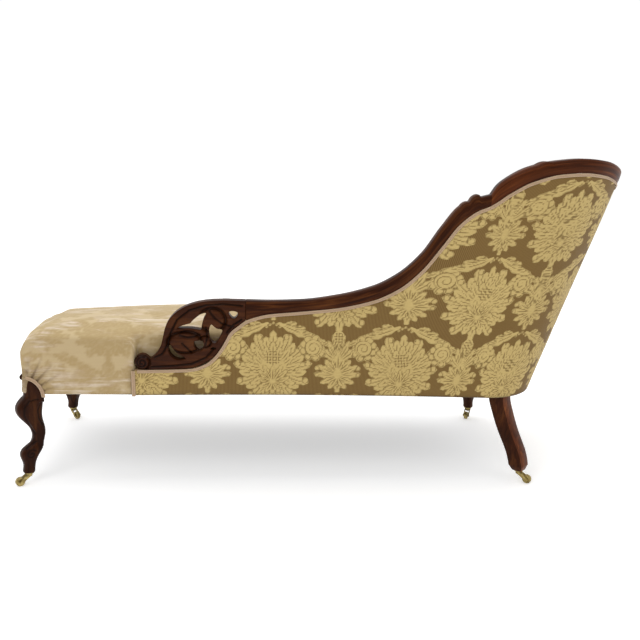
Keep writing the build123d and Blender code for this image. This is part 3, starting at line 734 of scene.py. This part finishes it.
def railProfile(low, top):  # ring of (out, height) round the rail
    depth, edge, belly = railWood["depth"], railWood["edge"], railWood["belly"]
    turns = [math.radians(15 * i) for i in range(7)]
    outer = [(belly * math.sin(math.pi * i / 6), low + (top - edge - low) * i / 6) for i in range(6)]
    front = [(-edge * (1 - math.cos(a)), top - edge * (1 - math.sin(a))) for a in turns]
    back = [(-depth + edge * (1 - math.cos(a)), top - edge * (1 - math.sin(a))) for a in reversed(turns)]
    inner = [(-depth, low + (top - edge - low) * (5 - i) / 6) for i in range(6)]
    return outer + front + back + inner


def makeRail(name, look, start, end):
    count = len(railProfile(0.0, 0.04))
    columns = round((end - start) / railWood["pitch"])
    piece = addGrid(name, columns, count)
    square = getPoints(piece) + 0.5
    rings = []
    for i in range(columns + 1):
        run = start + (end - start) * i / columns
        ring = railProfile(woodLow(run) + railWood["gap"], railTopAt(run))
        rings.append([backPoint(run, height, out) for out, height in ring + ring[:1]])
    column, row = np.rint(square[:, :2] * (columns, count)).astype(int).T
    setPoints(piece, np.array(rings)[column, row])
    setSpread(piece, np.stack([start + (end - start) * square[:, 0], square[:, 1] * railWood["girth"]], 1))
    editAll(piece, mergeDoubles, lambda: bpy.ops.mesh.fill_holes(sides=0), faceOutward)
    return finishPiece(piece, looks[look], smoothAngle=40)


railEnd = backLines["cuspRun"] - railWood["cuspGap"]
backRailWood = makeRail("backRailWood", "railMahogany", backLines["jointRun"], railEnd)
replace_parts(backRailWood, "back_rail")
crestRailWood = makeRail("crestRailWood", "crestMahogany", backLines["cuspRun"], backLines["endRun"])
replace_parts(crestRailWood, "crest_rail")
print("show-wood rails swept")


# Carving: grooves cut to a depth along curves drawn on a flat view of the piece
def groove(flat, curve, width):
    # Share of a groove's full depth at each flat point, for a curve of (across, height) points
    nearest = np.full(len(flat), 1.0)
    for a, b in zip(np.array(curve[:-1]), np.array(curve[1:])):
        along = np.clip((flat - a) @ (b - a) / ((b - a) @ (b - a)), 0, 1)
        nearest = np.minimum(nearest, np.linalg.norm(flat - a - along[:, None] * (b - a), axis=1))
    return np.exp(-(nearest / width) ** 2)


def cutShare(flat, carving):  # deepest of all grooves at each flat point
    return np.max([groove(flat, curve, carving["width"]) for curve in carving["curves"]], axis=0)


def spiralCurve(x, z, radius, turns, start, hand=1):
    shares = np.linspace(0, 1, 41)
    angle = start + hand * 2 * math.pi * turns * shares
    reach = radius * (1 - 0.8 * shares)
    return list(zip(x + reach * np.cos(angle), z + reach * np.sin(angle)))


scrollCarving = {
    "voxel": 0.0017,
    "width": 0.0026,
    "deep": 0.0046,
    "faceDepth": 0.009,  # only the outer face is carved
    # share of painted shade in a moat
    "moat": 0.0070,  # ditch round a boss, its width a share of the boss
    "moatWidth": 0.13,
    "moatShade": 0.8,
    "rise": 0.0050,  # height of a boss
    # rounded leaf and curls: middle, half width and half height
    "bosses": [(-0.168, 0.425, 0.047, 0.030), (-0.092, 0.490, 0.036, 0.034), (-0.286, 0.3663, 0.021, 0.021),
               (-0.112, 0.428, 0.016, 0.016)],
    "curves": [  # (distance from the rail joint, height)
        [(-0.01, 0.531), (-0.06, 0.536), (-0.11, 0.532), (-0.155, 0.517), (-0.188, 0.490), (-0.205, 0.455),
         (-0.214, 0.420), (-0.230, 0.392), (-0.252, 0.381)],
        [(-0.262, 0.353), (-0.20, 0.357), (-0.15, 0.363), (-0.110, 0.382), (-0.088, 0.408)],
        [(-0.182, 0.452), (-0.165, 0.458), (-0.145, 0.457), (-0.128, 0.448)],
        [(-0.182, 0.446), (-0.160, 0.441), (-0.140, 0.443), (-0.126, 0.446)],
        [(-0.100, 0.516), (-0.085, 0.496), (-0.062, 0.478), (-0.034, 0.472)],
        [(-0.052, 0.455), (-0.036, 0.476), (-0.012, 0.492)],
        [(-0.175, 0.424), (-0.160, 0.408), (-0.150, 0.395)],
        [(-0.110, 0.470), (-0.106, 0.440), (-0.112, 0.418)],
        spiralCurve(-0.286, 0.3663, 0.0165, 1.6, math.radians(60))],
}


def makeScroll():
    carving = scrollCarving
    piece = copyNode("piercedScrollCarved", "pierced_scroll")
    remesh(piece, carving["voxel"])
    modify(piece, "SMOOTH", factor=0.5, iterations=16)
    points = getPoints(piece)
    jointX = backLines["headX"] + backLines["jointRun"]
    flat = np.stack([points[:, 0] - jointX, points[:, 2]], 1)
    lean = curveAt(backLines["slope"], backLines["jointRun"])
    front = backLines["rearY"] - lean * (points[:, 2] - backLines["bottom"])
    facing = np.clip(1 - (points[:, 1] - front) / carving["faceDepth"], 0, 1)
    cut = cutShare(flat, carving)
    points[:, 1] += carving["deep"] * cut * facing
    for x, z, wide, high in carving["bosses"]:
        away = np.hypot((flat[:, 0] - x) / wide, (flat[:, 1] - z) / high)
        moat = np.exp(-((away - 1) / carving["moatWidth"]) ** 2)
        cut = np.maximum(cut, carving["moatShade"] * moat)
        points[:, 1] += facing * (carving["moat"] * moat - carving["rise"] * np.clip(1 - away ** 2, 0, 1))
    setPoints(piece, points)
    modify(piece, "SMOOTH", factor=0.4, iterations=1)
    # painted shade in the grooves and moats of the carved face
    setAttribute(piece, "paintedShade", cut * facing)
    return finishPiece(piece, looks["carvedMahogany"])


scroll = makeScroll()
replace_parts(scroll, "pierced_scroll")
print("scroll carved:", len(scroll.data.polygons), "faces")

# Cabriole legs with knee caps and rolled ears at the foot corners
legCarving = {
    "voxel": 0.0021,
    "capRadius": 0.0535,
    "capSpan": 0.054,  # reach round the corner to each side
    "capBottom": 0.248,
    "capLip": 0.016,  # height of its straight lower edge
    "capThick": 0.012,
    "capGap": 0.0006,
    "capProud": 0.0022,
    "capFoot": 0.0075,  # further out at its lower edge, where the knee begins
    "capFootReach": 0.034,
    "postCut": 0.75,  # share of the front post taken off inside the worn seat corner
    "postCutFrom": 0.30,
    "earRadius": 0.0090,
    "earLength": 0.030,
    "earPlace": (0.0015, 0.020, 0.3190),  # from the corner along the seat and inward, height
    "width": 0.0022,
    "deep": 0.0022,
    "carvedBelow": 0.262,
    # share of painted shade in the carved grooves
    "paintedShade": 0.8,
    "curves": [  # (reach from the post, height)
        [(0.000, 0.258), (0.022, 0.254), (0.036, 0.238), (0.038, 0.214), (0.024, 0.184), (0.008, 0.152)],
        [(-0.010, 0.250), (0.000, 0.226), (-0.002, 0.200), (-0.012, 0.176)],
        [(0.006, 0.130), (0.020, 0.122), (0.034, 0.112)],
        spiralCurve(0.022, 0.095, 0.014, 1.25, math.radians(140), -1)],
}
legs = {  # name, post from the seat's corner, heading, side of the knee cap
    "foot_rear_leg": ("footRearLegCarved", (0.0263, 0.0263), 210, 1),
    "foot_front_leg": ("footFrontLegCarved", (0.0263, 0.5477), 150, -1),
    "head_front_leg": ("headFrontLegCarved", (1.396, 0.5477), 45, None),
}
# foot corners of the seat, by the way that y goes inward
footCorners = {1: Vector((seatLow.x, seatLow.y)), -1: Vector((seatLow.x, seatHigh.y))}


def cornerPlan(along, side):
    # Point and outward direction on the seat's edge, measured round a foot corner from its rounded middle
    radius = 0.024
    if abs(along) < radius * math.pi / 4:
        turn = math.pi / 4 + along / radius
    else:
        turn = 0.0 if along < 0 else math.pi / 2
    over = max(abs(along) - radius * math.pi / 4, 0)
    centre = footCorners[side] + radius * Vector((1, side))
    out = Vector((-math.sin(turn), -side * math.cos(turn)))
    slide = Vector((1, 0)) if along < 0 else Vector((0, side))
    return centre + radius * out + over * slide, out


def archHeight(spot, side, radius):
    return math.sqrt(max(radius ** 2 - (spot - footCorners[side]).length_squared, 0.0))


def makeKneeCap(side):
    carving = legCarving
    cap = addGrid("kneeCap", 36, 20)

    def place(s, t):
        spot, out = cornerPlan((2 * s - 1) * carving["capSpan"], side)
        away = (spot - footCorners[side]).length
        rise = archHeight(spot, side, carving["capRadius"]) * t
        far = math.hypot(away, rise) / carving["capRadius"]
        near = max(0.0, 1 - away / carving["capFootReach"])
        proud = carving["capProud"] * (1 - far ** 6) + carving["capFoot"] * near * (1 - t) ** 2
        spot = spot + out * (proud + carving["capGap"])
        return Vector((*spot, carving["capBottom"] + (carving["capLip"] + rise) * t))

    shapeGrid(cap, place)
    editAll(cap, mergeDoubles)
    modify(cap, "SOLIDIFY", thickness=carving["capThick"], offset=side)
    return cap


def makeEar(side):
    along, inward, height = legCarving["earPlace"]
    corner = footCorners[side]
    deselectAll()
    bpy.ops.mesh.primitive_cylinder_add(vertices=24, radius=legCarving["earRadius"],
                                        depth=legCarving["earLength"],
                                        location=(corner.x + along, corner.y + side * inward, height),
                                        rotation=(math.radians(90), 0, 0))
    bpy.ops.object.transform_apply(location=True, rotation=True, scale=True)
    return bpy.context.object


def makeLeg(nodeName):
    name, (postX, postY), heading, side = legs[nodeName]
    piece = copyNode(name, nodeName)
    if side == -1:
        points = getPoints(piece)
        points[:, 2] -= legCarving["postCut"] * np.maximum(points[:, 2] - legCarving["postCutFrom"], 0)
        setPoints(piece, points)
    if side:
        joinAll([piece, makeKneeCap(side), makeEar(side)])
    remesh(piece, legCarving["voxel"])
    modify(piece, "SMOOTH", factor=0.5, iterations=9)
    points = getPoints(piece)
    turn = math.radians(heading)
    local = points[:, :2] - (seatLow.x + postX, seatLow.y + postY)
    reach, across = local @ (math.cos(turn), math.sin(turn)), local @ (-math.sin(turn), math.cos(turn))
    cut = cutShare(np.stack([reach, points[:, 2]], 1), legCarving)
    cut *= np.clip(np.abs(across) / 0.008 - 0.6, 0, 1) * (points[:, 2] < legCarving["carvedBelow"])
    points -= getNormals(piece) * (legCarving["deep"] * cut)[:, None]
    setPoints(piece, points)
    # painted shade in the carved grooves
    setAttribute(piece, "paintedShade", legCarving["paintedShade"] * cut)
    return finishPiece(piece, looks["legMahogany"])


def makeSabreLeg():
    piece = copyNode("sabreLegShaped", "head_rear_leg")
    editAll(piece, lambda: bpy.ops.mesh.dissolve_limited(angle_limit=math.radians(0.5)))
    modify(piece, "BEVEL", width=0.0016, segments=2, limit_method="ANGLE", angle_limit=math.radians(35))
    headward = getNormals(piece)[:, 0]
    setAttribute(piece, "paintedShade", np.clip(0.25 - 1.2 * headward, 0, 0.7))  # painted shade on the faces turned toward the foot end
    return finishPiece(piece, looks["sabreMahogany"], smoothAngle=38)


for nodeName in legs:
    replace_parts(makeLeg(nodeName), nodeName)
sabreLeg = makeSabreLeg()
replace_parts(sabreLeg, "head_rear_leg")
print("legs carved")


# Padding: cloth under pressure, kept close to its start
swelling = {
    "frames": 20,
    "quality": 4,
    "stiffness": 12,
    "bending": 1.5,
}


def inflate(piece, pressure, held, cap):
    start = getPoints(piece)
    pick(piece)
    group = piece.vertex_groups.new(name="tacked")
    group.add(np.flatnonzero(held).tolist(), 1.0, "REPLACE")
    cloth = piece.modifiers.new("swelling", "CLOTH")
    settings = cloth.settings
    settings.quality = swelling["quality"]
    settings.tension_stiffness = settings.compression_stiffness = swelling["stiffness"]
    settings.bending_stiffness = swelling["bending"]
    settings.vertex_group_mass = "tacked"
    settings.use_pressure = True
    settings.uniform_pressure_force = pressure
    settings.effector_weights.gravity = 0
    cloth.collision_settings.use_collision = False
    cloth.point_cache.frame_start = 1
    cloth.point_cache.frame_end = swelling["frames"]
    for step in range(1, swelling["frames"] + 1):
        bpy.context.scene.frame_set(step)
    bpy.ops.object.modifier_apply(modifier=cloth.name)
    bpy.context.scene.frame_set(1)
    moved = getPoints(piece) - start
    length = np.linalg.norm(moved, axis=1)
    setPoints(piece, start + moved * np.minimum(1, cap / np.maximum(length, 1e-9))[:, None])
    piece.vertex_groups.clear()
    print(piece.name, "swelled by", round(1000 * float(np.minimum(length, cap).max()), 1), "mm")


# Seat: one padded form from the lower edge of the rails over the sprung top
seatPad = {
    "voxel": 0.012,
    "bottom": 0.2665,
    "crown": 0.455,
    "backEdge": 0.438,
    "frontEdge": 0.385,
    "footEdge": 0.448,
    "middle": (0.746, 0.462),  # distance from the foot end, height
    "headEdge": (1.566, 0.440),
    "frontDrop": 0.0365,  # worn fall of the front foot corner
    "dropReach": 0.25,
    "breakX": 0.305,  # where the back panel begins, from the foot end
    "backInset": 0.035,
    "halfWidth": 0.287,
    "headCorner": (1.329, 0.175, 0.140),  # middle and radius
    "headLean": 0.0787,  # the head end runs back toward the front, past this straight stretch
    "headStraight": 0.011,
    "ease": 0.002,  # room for the cloth before it swells
    "tackedBelow": 0.30,
    "softRise": 0.06,
    "swell": 0.009,
    "pressure": 4.0,
    "squareTop": 0.445,  # sides are square on the rails and let go toward this height
    "squareFade": 0.05,
    "cover": 0.0025,
    "hessianVoxel": 0.006,
    "hessianDepth": 0.026,  # least depth of the hessian under the top
}


def seatHeight(x, y):  # x from the foot end, y from the seat's middle
    half = seatPad["halfWidth"]
    fall = (seatPad["frontEdge"] - seatPad["backEdge"]) / 2 * y / half
    sag = (seatPad["backEdge"] + seatPad["frontEdge"]) / 2 - seatPad["crown"]
    across = seatPad["crown"] + fall + sag * (y / half) ** 2
    (midX, midZ), (endX, endZ) = seatPad["middle"], seatPad["headEdge"]
    rise = np.polyfit([0, midX, endX], [seatPad["footEdge"], midZ, endZ], 2)
    along = np.polyval(rise, x)
    worn = seatPad["frontDrop"] * np.clip(y / half + 0.3, 0, 1.2) * np.exp(-(x / seatPad["dropReach"]) ** 2)
    return np.minimum(across, along) - worn


def seatHead(y):  # head end of the seat, x from the foot end, y from the back edge
    centreX, centreY, radius = seatPad["headCorner"]
    curve = centreX + np.sqrt(np.maximum(radius ** 2 - np.minimum(y - centreY, 0) ** 2, 0))
    return curve - seatPad["headLean"] * np.maximum(y - centreY - seatPad["headStraight"], 0)


def makeSeat():
    deselectAll()
    bpy.ops.mesh.primitive_cube_add(size=1)
    piece = bpy.context.object
    piece.name = piece.data.name = "seatPadded"
    editAll(piece, lambda: bpy.ops.mesh.subdivide(number_cuts=63))
    s, t, w = (getPoints(piece) + 0.5).T
    half, inset, ease, bottom = (seatPad[key] for key in ("halfWidth", "backInset", "ease", "bottom"))
    y = inset + ease + t * (2 * half - inset - 2 * ease)
    x = ease + s * (seatHead(y) - ease)
    pull = np.clip((seatPad["breakX"] - x) / 0.02 + 0.5, 0, 1)
    y = y - inset * pull * (1 - t)
    z = bottom + w * (seatHeight(x, y - half) - bottom)
    setPoints(piece, np.stack([seatLow.x + x, seatLow.y + y, z], 1))
    remesh(piece, seatPad["voxel"])
    height, tacked = getPoints(piece)[:, 2], seatPad["tackedBelow"]
    soft = piece.vertex_groups.new(name="soft")
    for share in (0.25, 0.5, 0.75, 1.0):
        soft.add(np.flatnonzero(height > tacked + seatPad["softRise"] * share).tolist(), share, "REPLACE")
    modify(piece, "SMOOTH", factor=0.5, iterations=26, vertex_group="soft")
    piece.vertex_groups.clear()
    inflate(piece, seatPad["pressure"], getPoints(piece)[:, 2] < tacked, seatPad["swell"])
    modify(piece, "SUBSURF", levels=1, render_levels=1)
    squareSides(piece)
    return piece


def squareSides(piece):
    # Brings the sides out to the seat's edge lines, fully on the rails and less toward the top
    points, normals = getPoints(piece), getNormals(piece)
    x, y = points[:, 0] - seatLow.x, points[:, 1] - seatLow.y
    back = np.where(x < seatPad["breakX"] + 0.006, 0.0, seatPad["backInset"])
    share = np.clip((seatPad["squareTop"] - points[:, 2]) / seatPad["squareFade"], 0, 1)
    sides = ((y - back, 1, -1), (2 * seatPad["halfWidth"] - y, 1, 1), (x, 0, -1), (seatHead(y) - x, 0, 1))
    for gap, axis, sign in sides:
        facing = np.clip(sign * normals[:, axis] * 2 - 0.4, 0, 1) * (gap < 0.03)
        points[:, axis] += sign * gap * facing * share
    setPoints(piece, points)
    above = piece.vertex_groups.new(name="above")
    above.add(np.flatnonzero(points[:, 2] > 0.29).tolist(), 1.0, "REPLACE")
    modify(piece, "SMOOTH", factor=0.5, iterations=2, vertex_group="above")
    piece.vertex_groups.clear()


pleats = {  # gathers above the foot corners
    "bottom": 0.264,
    "start": 0.052,
    "length": 0.085,
    "reach": 0.16,
    "width": 0.0036,
    "ridge": 0.008,  # from a fold to the ridge beside it
    "darkest": 0.004,  # depth of a fold with the full painted shade
    # angle from the edge and depth of each fold
    "folds": [(18, 0.0024), (33, 0.0031), (48, 0.0034), (63, 0.0034), (78, 0.0031),
              (95, 0.0028), (114, 0.0024)],
}


def pleatSeat(piece):
    points, normals = getPoints(piece), getNormals(piece)
    depth = np.zeros(len(points))
    for side, corner in footCorners.items():
        away = points - (*corner, pleats["bottom"])
        inward = side * away[:, 1]
        along = away[:, 0] - inward  # round the corner, onto the side and onto the foot end
        radius = np.hypot(along, away[:, 2])
        angle = np.degrees(np.arctan2(away[:, 2], along))
        past = radius - pleats["start"]
        fade = np.clip(past / 0.008, 0, 1) * np.clip(1 - past / pleats["length"], 0, 1)
        near = (np.abs(normals[:, 2]) < 0.8) & (away[:, 0] < pleats["reach"]) & (inward < pleats["reach"])
        for fold, deep in pleats["folds"]:
            spread = radius * np.radians(angle - fold)
            ridge = np.exp(-((spread - pleats["ridge"]) / pleats["width"]) ** 2)
            depth += near * fade * deep * (np.exp(-(spread / pleats["width"]) ** 2) - 0.5 * ridge)
    setPoints(piece, points - normals * depth[:, None])
    # fold depth as a share, which paints shade into the folds below
    setAttribute(piece, "fold", np.clip(depth / pleats["darkest"], 0, 1))


seatShade = {  # shares of painted shade, and how far two of them reach
    "edge": 0.75,
    "edgeReach": 0.004,
    "corner": 0.50,
    "cornerReach": 0.034,
    "rear": 0.25,
    "folds": 0.75,
    "panelEnd": 0.45,  # beside the braid where the back panel begins
    "height": 0.305,  # middle of the shaded corner and panel end
}


def spreadSeat(piece):  # cloth map: along x, and over the back edge, top and front edge
    points, normals = getPoints(piece), getNormals(piece)
    x, y, z = points.T
    middle = y - (seatLow.y + seatHigh.y) / 2
    drop = np.maximum(0.44 - z, 0)
    sideways, endways, rearward = (np.clip(out * 1.6 - 0.3, 0, 1)
                                   for out in (np.abs(normals[:, 1]), -normals[:, 0], -normals[:, 1]))
    flat = np.stack([x - endways * drop, middle + np.sign(middle) * drop * sideways], 1)
    layDamask(piece, flat, (0.1, 0.2), seatDamaskLook["scale"])
    folds = np.zeros(len(points), np.float32)
    piece.data.attributes["fold"].data.foreach_get("value", folds)
    # painted shade: darker at the lower edge, round the rear foot corner, on the faces turned to the rear, in
    # the folds and beside the panel end
    corner = np.linalg.norm(points - (seatLow.x + 0.02, seatLow.y, seatShade["height"]), axis=1)
    panelEnd = np.hypot((x - seatLow.x - seatPad["breakX"]) / 0.010, (z - seatShade["height"]) / 0.05)
    paintedShade = (seatShade["edge"] * np.exp(-(z - seatPad["bottom"]) / seatShade["edgeReach"])
            + seatShade["corner"] * np.exp(-(corner / seatShade["cornerReach"]) ** 2)
            + seatShade["rear"] * rearward + seatShade["folds"] * folds
            + seatShade["panelEnd"] * np.exp(-panelEnd ** 2) * (y < seatLow.y + 0.03))
    setAttribute(piece, "paintedShade", np.clip(paintedShade, 0, 1))


def makeSeatHessian():  # lowered where the worn corner falls
    piece = copyNode("seatHessianShaped", "seat_hessian")
    remesh(piece, seatPad["hessianVoxel"])
    points = getPoints(piece)
    top = seatHeight(points[:, 0] - seatLow.x, points[:, 1] - seatLow.y - seatPad["halfWidth"])
    points[:, 2] = np.minimum(points[:, 2], top - seatPad["hessianDepth"])
    setPoints(piece, points)
    return finishPiece(piece, looks["hessian"])


seat = makeSeat()
pleatSeat(seat)
deletePoints(seat, (getPoints(seat)[:, 2] < seatPad["bottom"] + 0.004) & (getNormals(seat)[:, 2] < -0.9))
modify(seat, "SOLIDIFY", thickness=seatPad["cover"], offset=-1)
spreadSeat(seat)
finishPiece(seat, looks["seatDamask"])
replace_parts(seat, "seat_cover", "seat_stuffing")
hessian = makeSeatHessian()
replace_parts(hessian, "seat_hessian")
print("seat padded:", len(seat.data.polygons), "faces")


# Inside back: the padded lining of the tub
insideBack = {
    "voxel": 0.009,
    "pressure": 3.0,
    "swell": 0.004,
    "heldOutside": -0.045,  # only what lies further in swells
    "tuckFrom": 0.490,  # below this height the lining runs on down behind the seat
    "tuckTo": 0.352,
    "tuckReach": 0.055,  # and on under the scroll
    "tuckFade": 0.06,
}


def backPlace(points):  # run along the back and distance outside its lower edge line
    radius, turnEnd = backLines["cornerRadius"], backLines["headTurn"]
    centre = np.array([backLines["headX"], backLines["rearY"] + radius])
    local = points[:, :2] - centre
    turn = np.clip(np.arctan2(local[:, 0], -local[:, 1]), 0, turnEnd)
    turn = np.where(local[:, 0] <= 0, 0, np.where(local[:, 1] > 0.02, turnEnd, turn))
    normal = np.stack([np.sin(turn), -np.cos(turn)], 1)
    slide = np.stack([np.cos(turn), np.sin(turn)], 1)
    past = (local * slide).sum(1)
    run = np.where(turn <= 0, np.minimum(local[:, 0], 0), radius * turn + np.where(turn >= turnEnd, past, 0))
    slope = np.array([curveAt(backLines["slope"], r) for r in run])
    out = (local * normal).sum(1) - radius - slope * (points[:, 2] - backLines["bottom"])
    return run, out


def makeInsideBack():
    pad = insideBack
    piece = copyNode("insideBackPadded", "back_stuffing", "inside_back_cover")
    points = getPoints(piece)
    run, out = backPlace(points)
    low = points[:, 2].min()
    tucked = np.clip((pad["tuckFrom"] - points[:, 2]) / (pad["tuckFrom"] - low), 0, 1)
    footward = np.clip((backLines["jointRun"] + pad["tuckFade"] - run) / pad["tuckFade"], 0, 1)
    points[:, 2] -= tucked * (low - pad["tuckTo"])
    points[:, 0] -= tucked * pad["tuckReach"] * footward
    setPoints(piece, points)
    remesh(piece, pad["voxel"])
    modify(piece, "SMOOTH", factor=0.5, iterations=4)
    run, out = backPlace(getPoints(piece))
    inflate(piece, pad["pressure"], out > pad["heldOutside"], pad["swell"])
    modify(piece, "SUBSURF", levels=1, render_levels=1)
    points = getPoints(piece)
    run, out = backPlace(points)
    layDamask(piece, np.stack([run, points[:, 2]], 1), scale=seatDamaskLook["scale"])
    return finishPiece(piece, looks["seatDamask"])


lining = makeInsideBack()
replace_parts(lining, "back_stuffing", "inside_back_cover")
print("inside back padded:", len(lining.data.polygons), "faces")

# Gimp: ridged braid along the show wood, down the end of the back panel and over the knees
gimp = {
    "width": 0.0092,
    "cord": 0.0021,  # height of its two cords
    "twist": 0.0045,  # length of one twist
    "backing": 0.0008,
    "rows": 10,
    "startRun": -1.000,
    "endGap": 0.004,  # end of the braid before the end of the wood
    "outerGap": 0.0043,  # from the wood's lower edge to the middle of the braid
    "outerProud": 0.0014,
    "innerGap": -0.0062,
    "innerProud": 0.0012,
    "innerEndGap": 0.02,
    "dropRun": -1.011,
    "dropHeights": (0.268, 0.3425),
    "dropProud": 0.0016,
    "kneeSpan": 0.0535,
    "kneeRadius": 0.0575,
    "kneeBottom": 0.264,
    "kneeProud": 0.0012,
}


def makeBraidStrip(path, columns):
    # path(s) gives middle, direction across and outward direction
    rows = gimp["rows"]
    strip = addGrid("braidStrip", columns, rows)
    spots = [path(i / columns) for i in range(columns + 1)]
    middles = np.array([spot[0] for spot in spots])
    along = np.concatenate([[0], np.cumsum(np.linalg.norm(np.diff(middles, axis=0), axis=1))])

    def place(s, t):
        i = round(s * columns)
        middle, across, out = spots[i]
        cord = abs(math.sin(2 * math.pi * t)) ** 0.7
        twist = math.sin(2 * math.pi * (along[i] / gimp["twist"] + (0.5 if t > 0.5 else 0) + t))
        height = 0.0004 + gimp["cord"] * cord * (0.82 + 0.18 * twist)
        return middle + across * (t - 0.5) * gimp["width"] + out * height

    shapeGrid(strip, place)
    width = np.linspace(0, gimp["width"], rows + 1)
    setSpread(strip, np.stack([np.tile(along, rows + 1), np.repeat(width, columns + 1)], 1))
    return strip


def edgeSpot(run, gap, out):  # spot of a braid laid beside the lower edge of the show wood
    slope = (woodLow(run + 0.004) - woodLow(run - 0.004)) / 0.008
    length = math.hypot(1, slope)

    def beside(distance):  # square to the edge, downward
        return backPoint(run + distance * slope / length, woodLow(run) - distance / length, out)

    nx, ny = outline(run)[2:]
    return beside(gap), (beside(-0.01) - beside(0.01)).normalized(), Vector((nx, ny, 0))


def outerPath(s):
    start, end = gimp["startRun"], backLines["endRun"] - gimp["endGap"]
    return edgeSpot(start + s * (end - start), gimp["outerGap"], gimp["outerProud"])


def innerPath(s):
    start, end = backLines["jointRun"] + gimp["endGap"], backLines["endRun"] - gimp["innerEndGap"]
    inside = -railWood["depth"] - gimp["innerProud"]
    middle, across, out = edgeSpot(start + s * (end - start), gimp["innerGap"], inside)
    return middle, across, -out


def dropPath(s):
    low, high = gimp["dropHeights"]
    middle = backPoint(gimp["dropRun"], low + s * (high - low), gimp["dropProud"])
    return middle, Vector((1, 0, 0)), Vector((0, -1, 0))


def kneePath(side):
    def path(s):
        along = (2 * s - 1) * gimp["kneeSpan"]
        spot, out = cornerPlan(along, side)
        rise = archHeight(spot, side, gimp["kneeRadius"])
        middle = Vector((*(spot + out * gimp["kneeProud"]), gimp["kneeBottom"] + rise))
        slide = Vector((1, 0, 0)) if along < 0 else Vector((0, side, 0))
        across = (Vector((0, 0, rise)) + slide * abs(along)).normalized()
        return middle, across, Vector((*out, 0))
    return path


def joinStrips(name, strips):
    braid = joinAll(strips)
    braid.name = braid.data.name = name
    modify(braid, "SOLIDIFY", thickness=gimp["backing"], offset=-1)
    editAll(braid, faceOutward)
    return finishPiece(braid, looks["braid"])


outerStrips = [makeBraidStrip(outerPath, 1000), makeBraidStrip(dropPath, 44)]
outerStrips += [makeBraidStrip(kneePath(side), 80) for side in footCorners]
outerGimp = joinStrips("outsideGimpBraid", outerStrips)
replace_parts(outerGimp, "back_gimp")
innerGimp = joinStrips("insideGimpBraid", [makeBraidStrip(innerPath, 760)])
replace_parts(innerGimp, "inside_gimp")
print("gimp laid")

# Stage
stage = {
    "camera": (-0.17554, -2.42460, 1.0039),
    "heading": -4.423,
    "dip": 13.316,
    "roll": 1.570,
    "lens": 45.0,
    "sensor": 36.0,
    "floor": 14.0,
    "floorGlow": 0.32,
    "frontGlow": 0.60,
    "backGlow": 1.03,
    "lights": {  # place, aim, size and power
        "keyLight": ((-1.6, -2.6, 2.9), (0, 0, 0.4), 2.2, 35),
        "fillLight": ((2.4, -2.4, 2.0), (0.2, 0, 0.5), 2.4, 11),
        "topLight": ((0.0, 0.4, 3.4), (0, 0, 0.4), 3.0, 34)},
}


def makeFloor():
    deselectAll()
    bpy.ops.mesh.primitive_plane_add(size=stage["floor"], location=(0, 0, 0))
    floor = bpy.context.object
    floor.name = "studioFloor"
    material, tree, shader = newMaterial("paleFloor")
    feed(tree, shader, {"Base Color": (0.96, 0.96, 0.96, 1), "Emission Color": (1, 1, 1, 1),
                        "Emission Strength": stage["floorGlow"], "Roughness": 0.9, "Specular IOR Level": 0.1})
    floor.data.materials.append(material)


def makeWorld():  # white backdrop behind the piece, dimmer studio in front of it
    world = bpy.data.worlds.new("studioWhite")
    world.use_nodes = True
    tree = world.node_tree
    toward = axes(tree, addNode(tree, "ShaderNodeTexCoord").outputs["Generated"])
    glow = rescale(tree, toward[1], -0.2, 0.3, stage["frontGlow"], stage["backGlow"])
    feed(tree, tree.nodes["Background"], {"Strength": glow, "Color": (1, 1, 1, 1)})
    bpy.context.scene.world = world


def makeLights():
    for name, (place, aim, size, power) in stage["lights"].items():
        light = bpy.data.lights.new(name, "AREA")
        light.size = size
        light.energy = power
        lamp = bpy.data.objects.new(name, light)
        lamp.location = place
        lamp.rotation_euler = (Vector(aim) - Vector(place)).to_track_quat("-Z", "Y").to_euler()
        bpy.context.collection.objects.link(lamp)


def makeCamera():
    data = bpy.data.cameras.new("photoCamera")
    data.lens = stage["lens"]
    data.sensor_width = stage["sensor"]
    camera = bpy.data.objects.new("photoCamera", data)
    bpy.context.collection.objects.link(camera)
    camera.matrix_world = (Matrix.Translation(stage["camera"])
                           @ Matrix.Rotation(math.radians(stage["heading"]), 4, "Z")
                           @ Matrix.Rotation(math.radians(90 - stage["dip"]), 4, "X")
                           @ Matrix.Rotation(math.radians(stage["roll"]), 4, "Z"))
    bpy.context.scene.camera = camera


makeFloor()
makeWorld()
makeLights()
makeCamera()
bpy.context.scene.view_settings.view_transform = "Standard"
print("stage set")
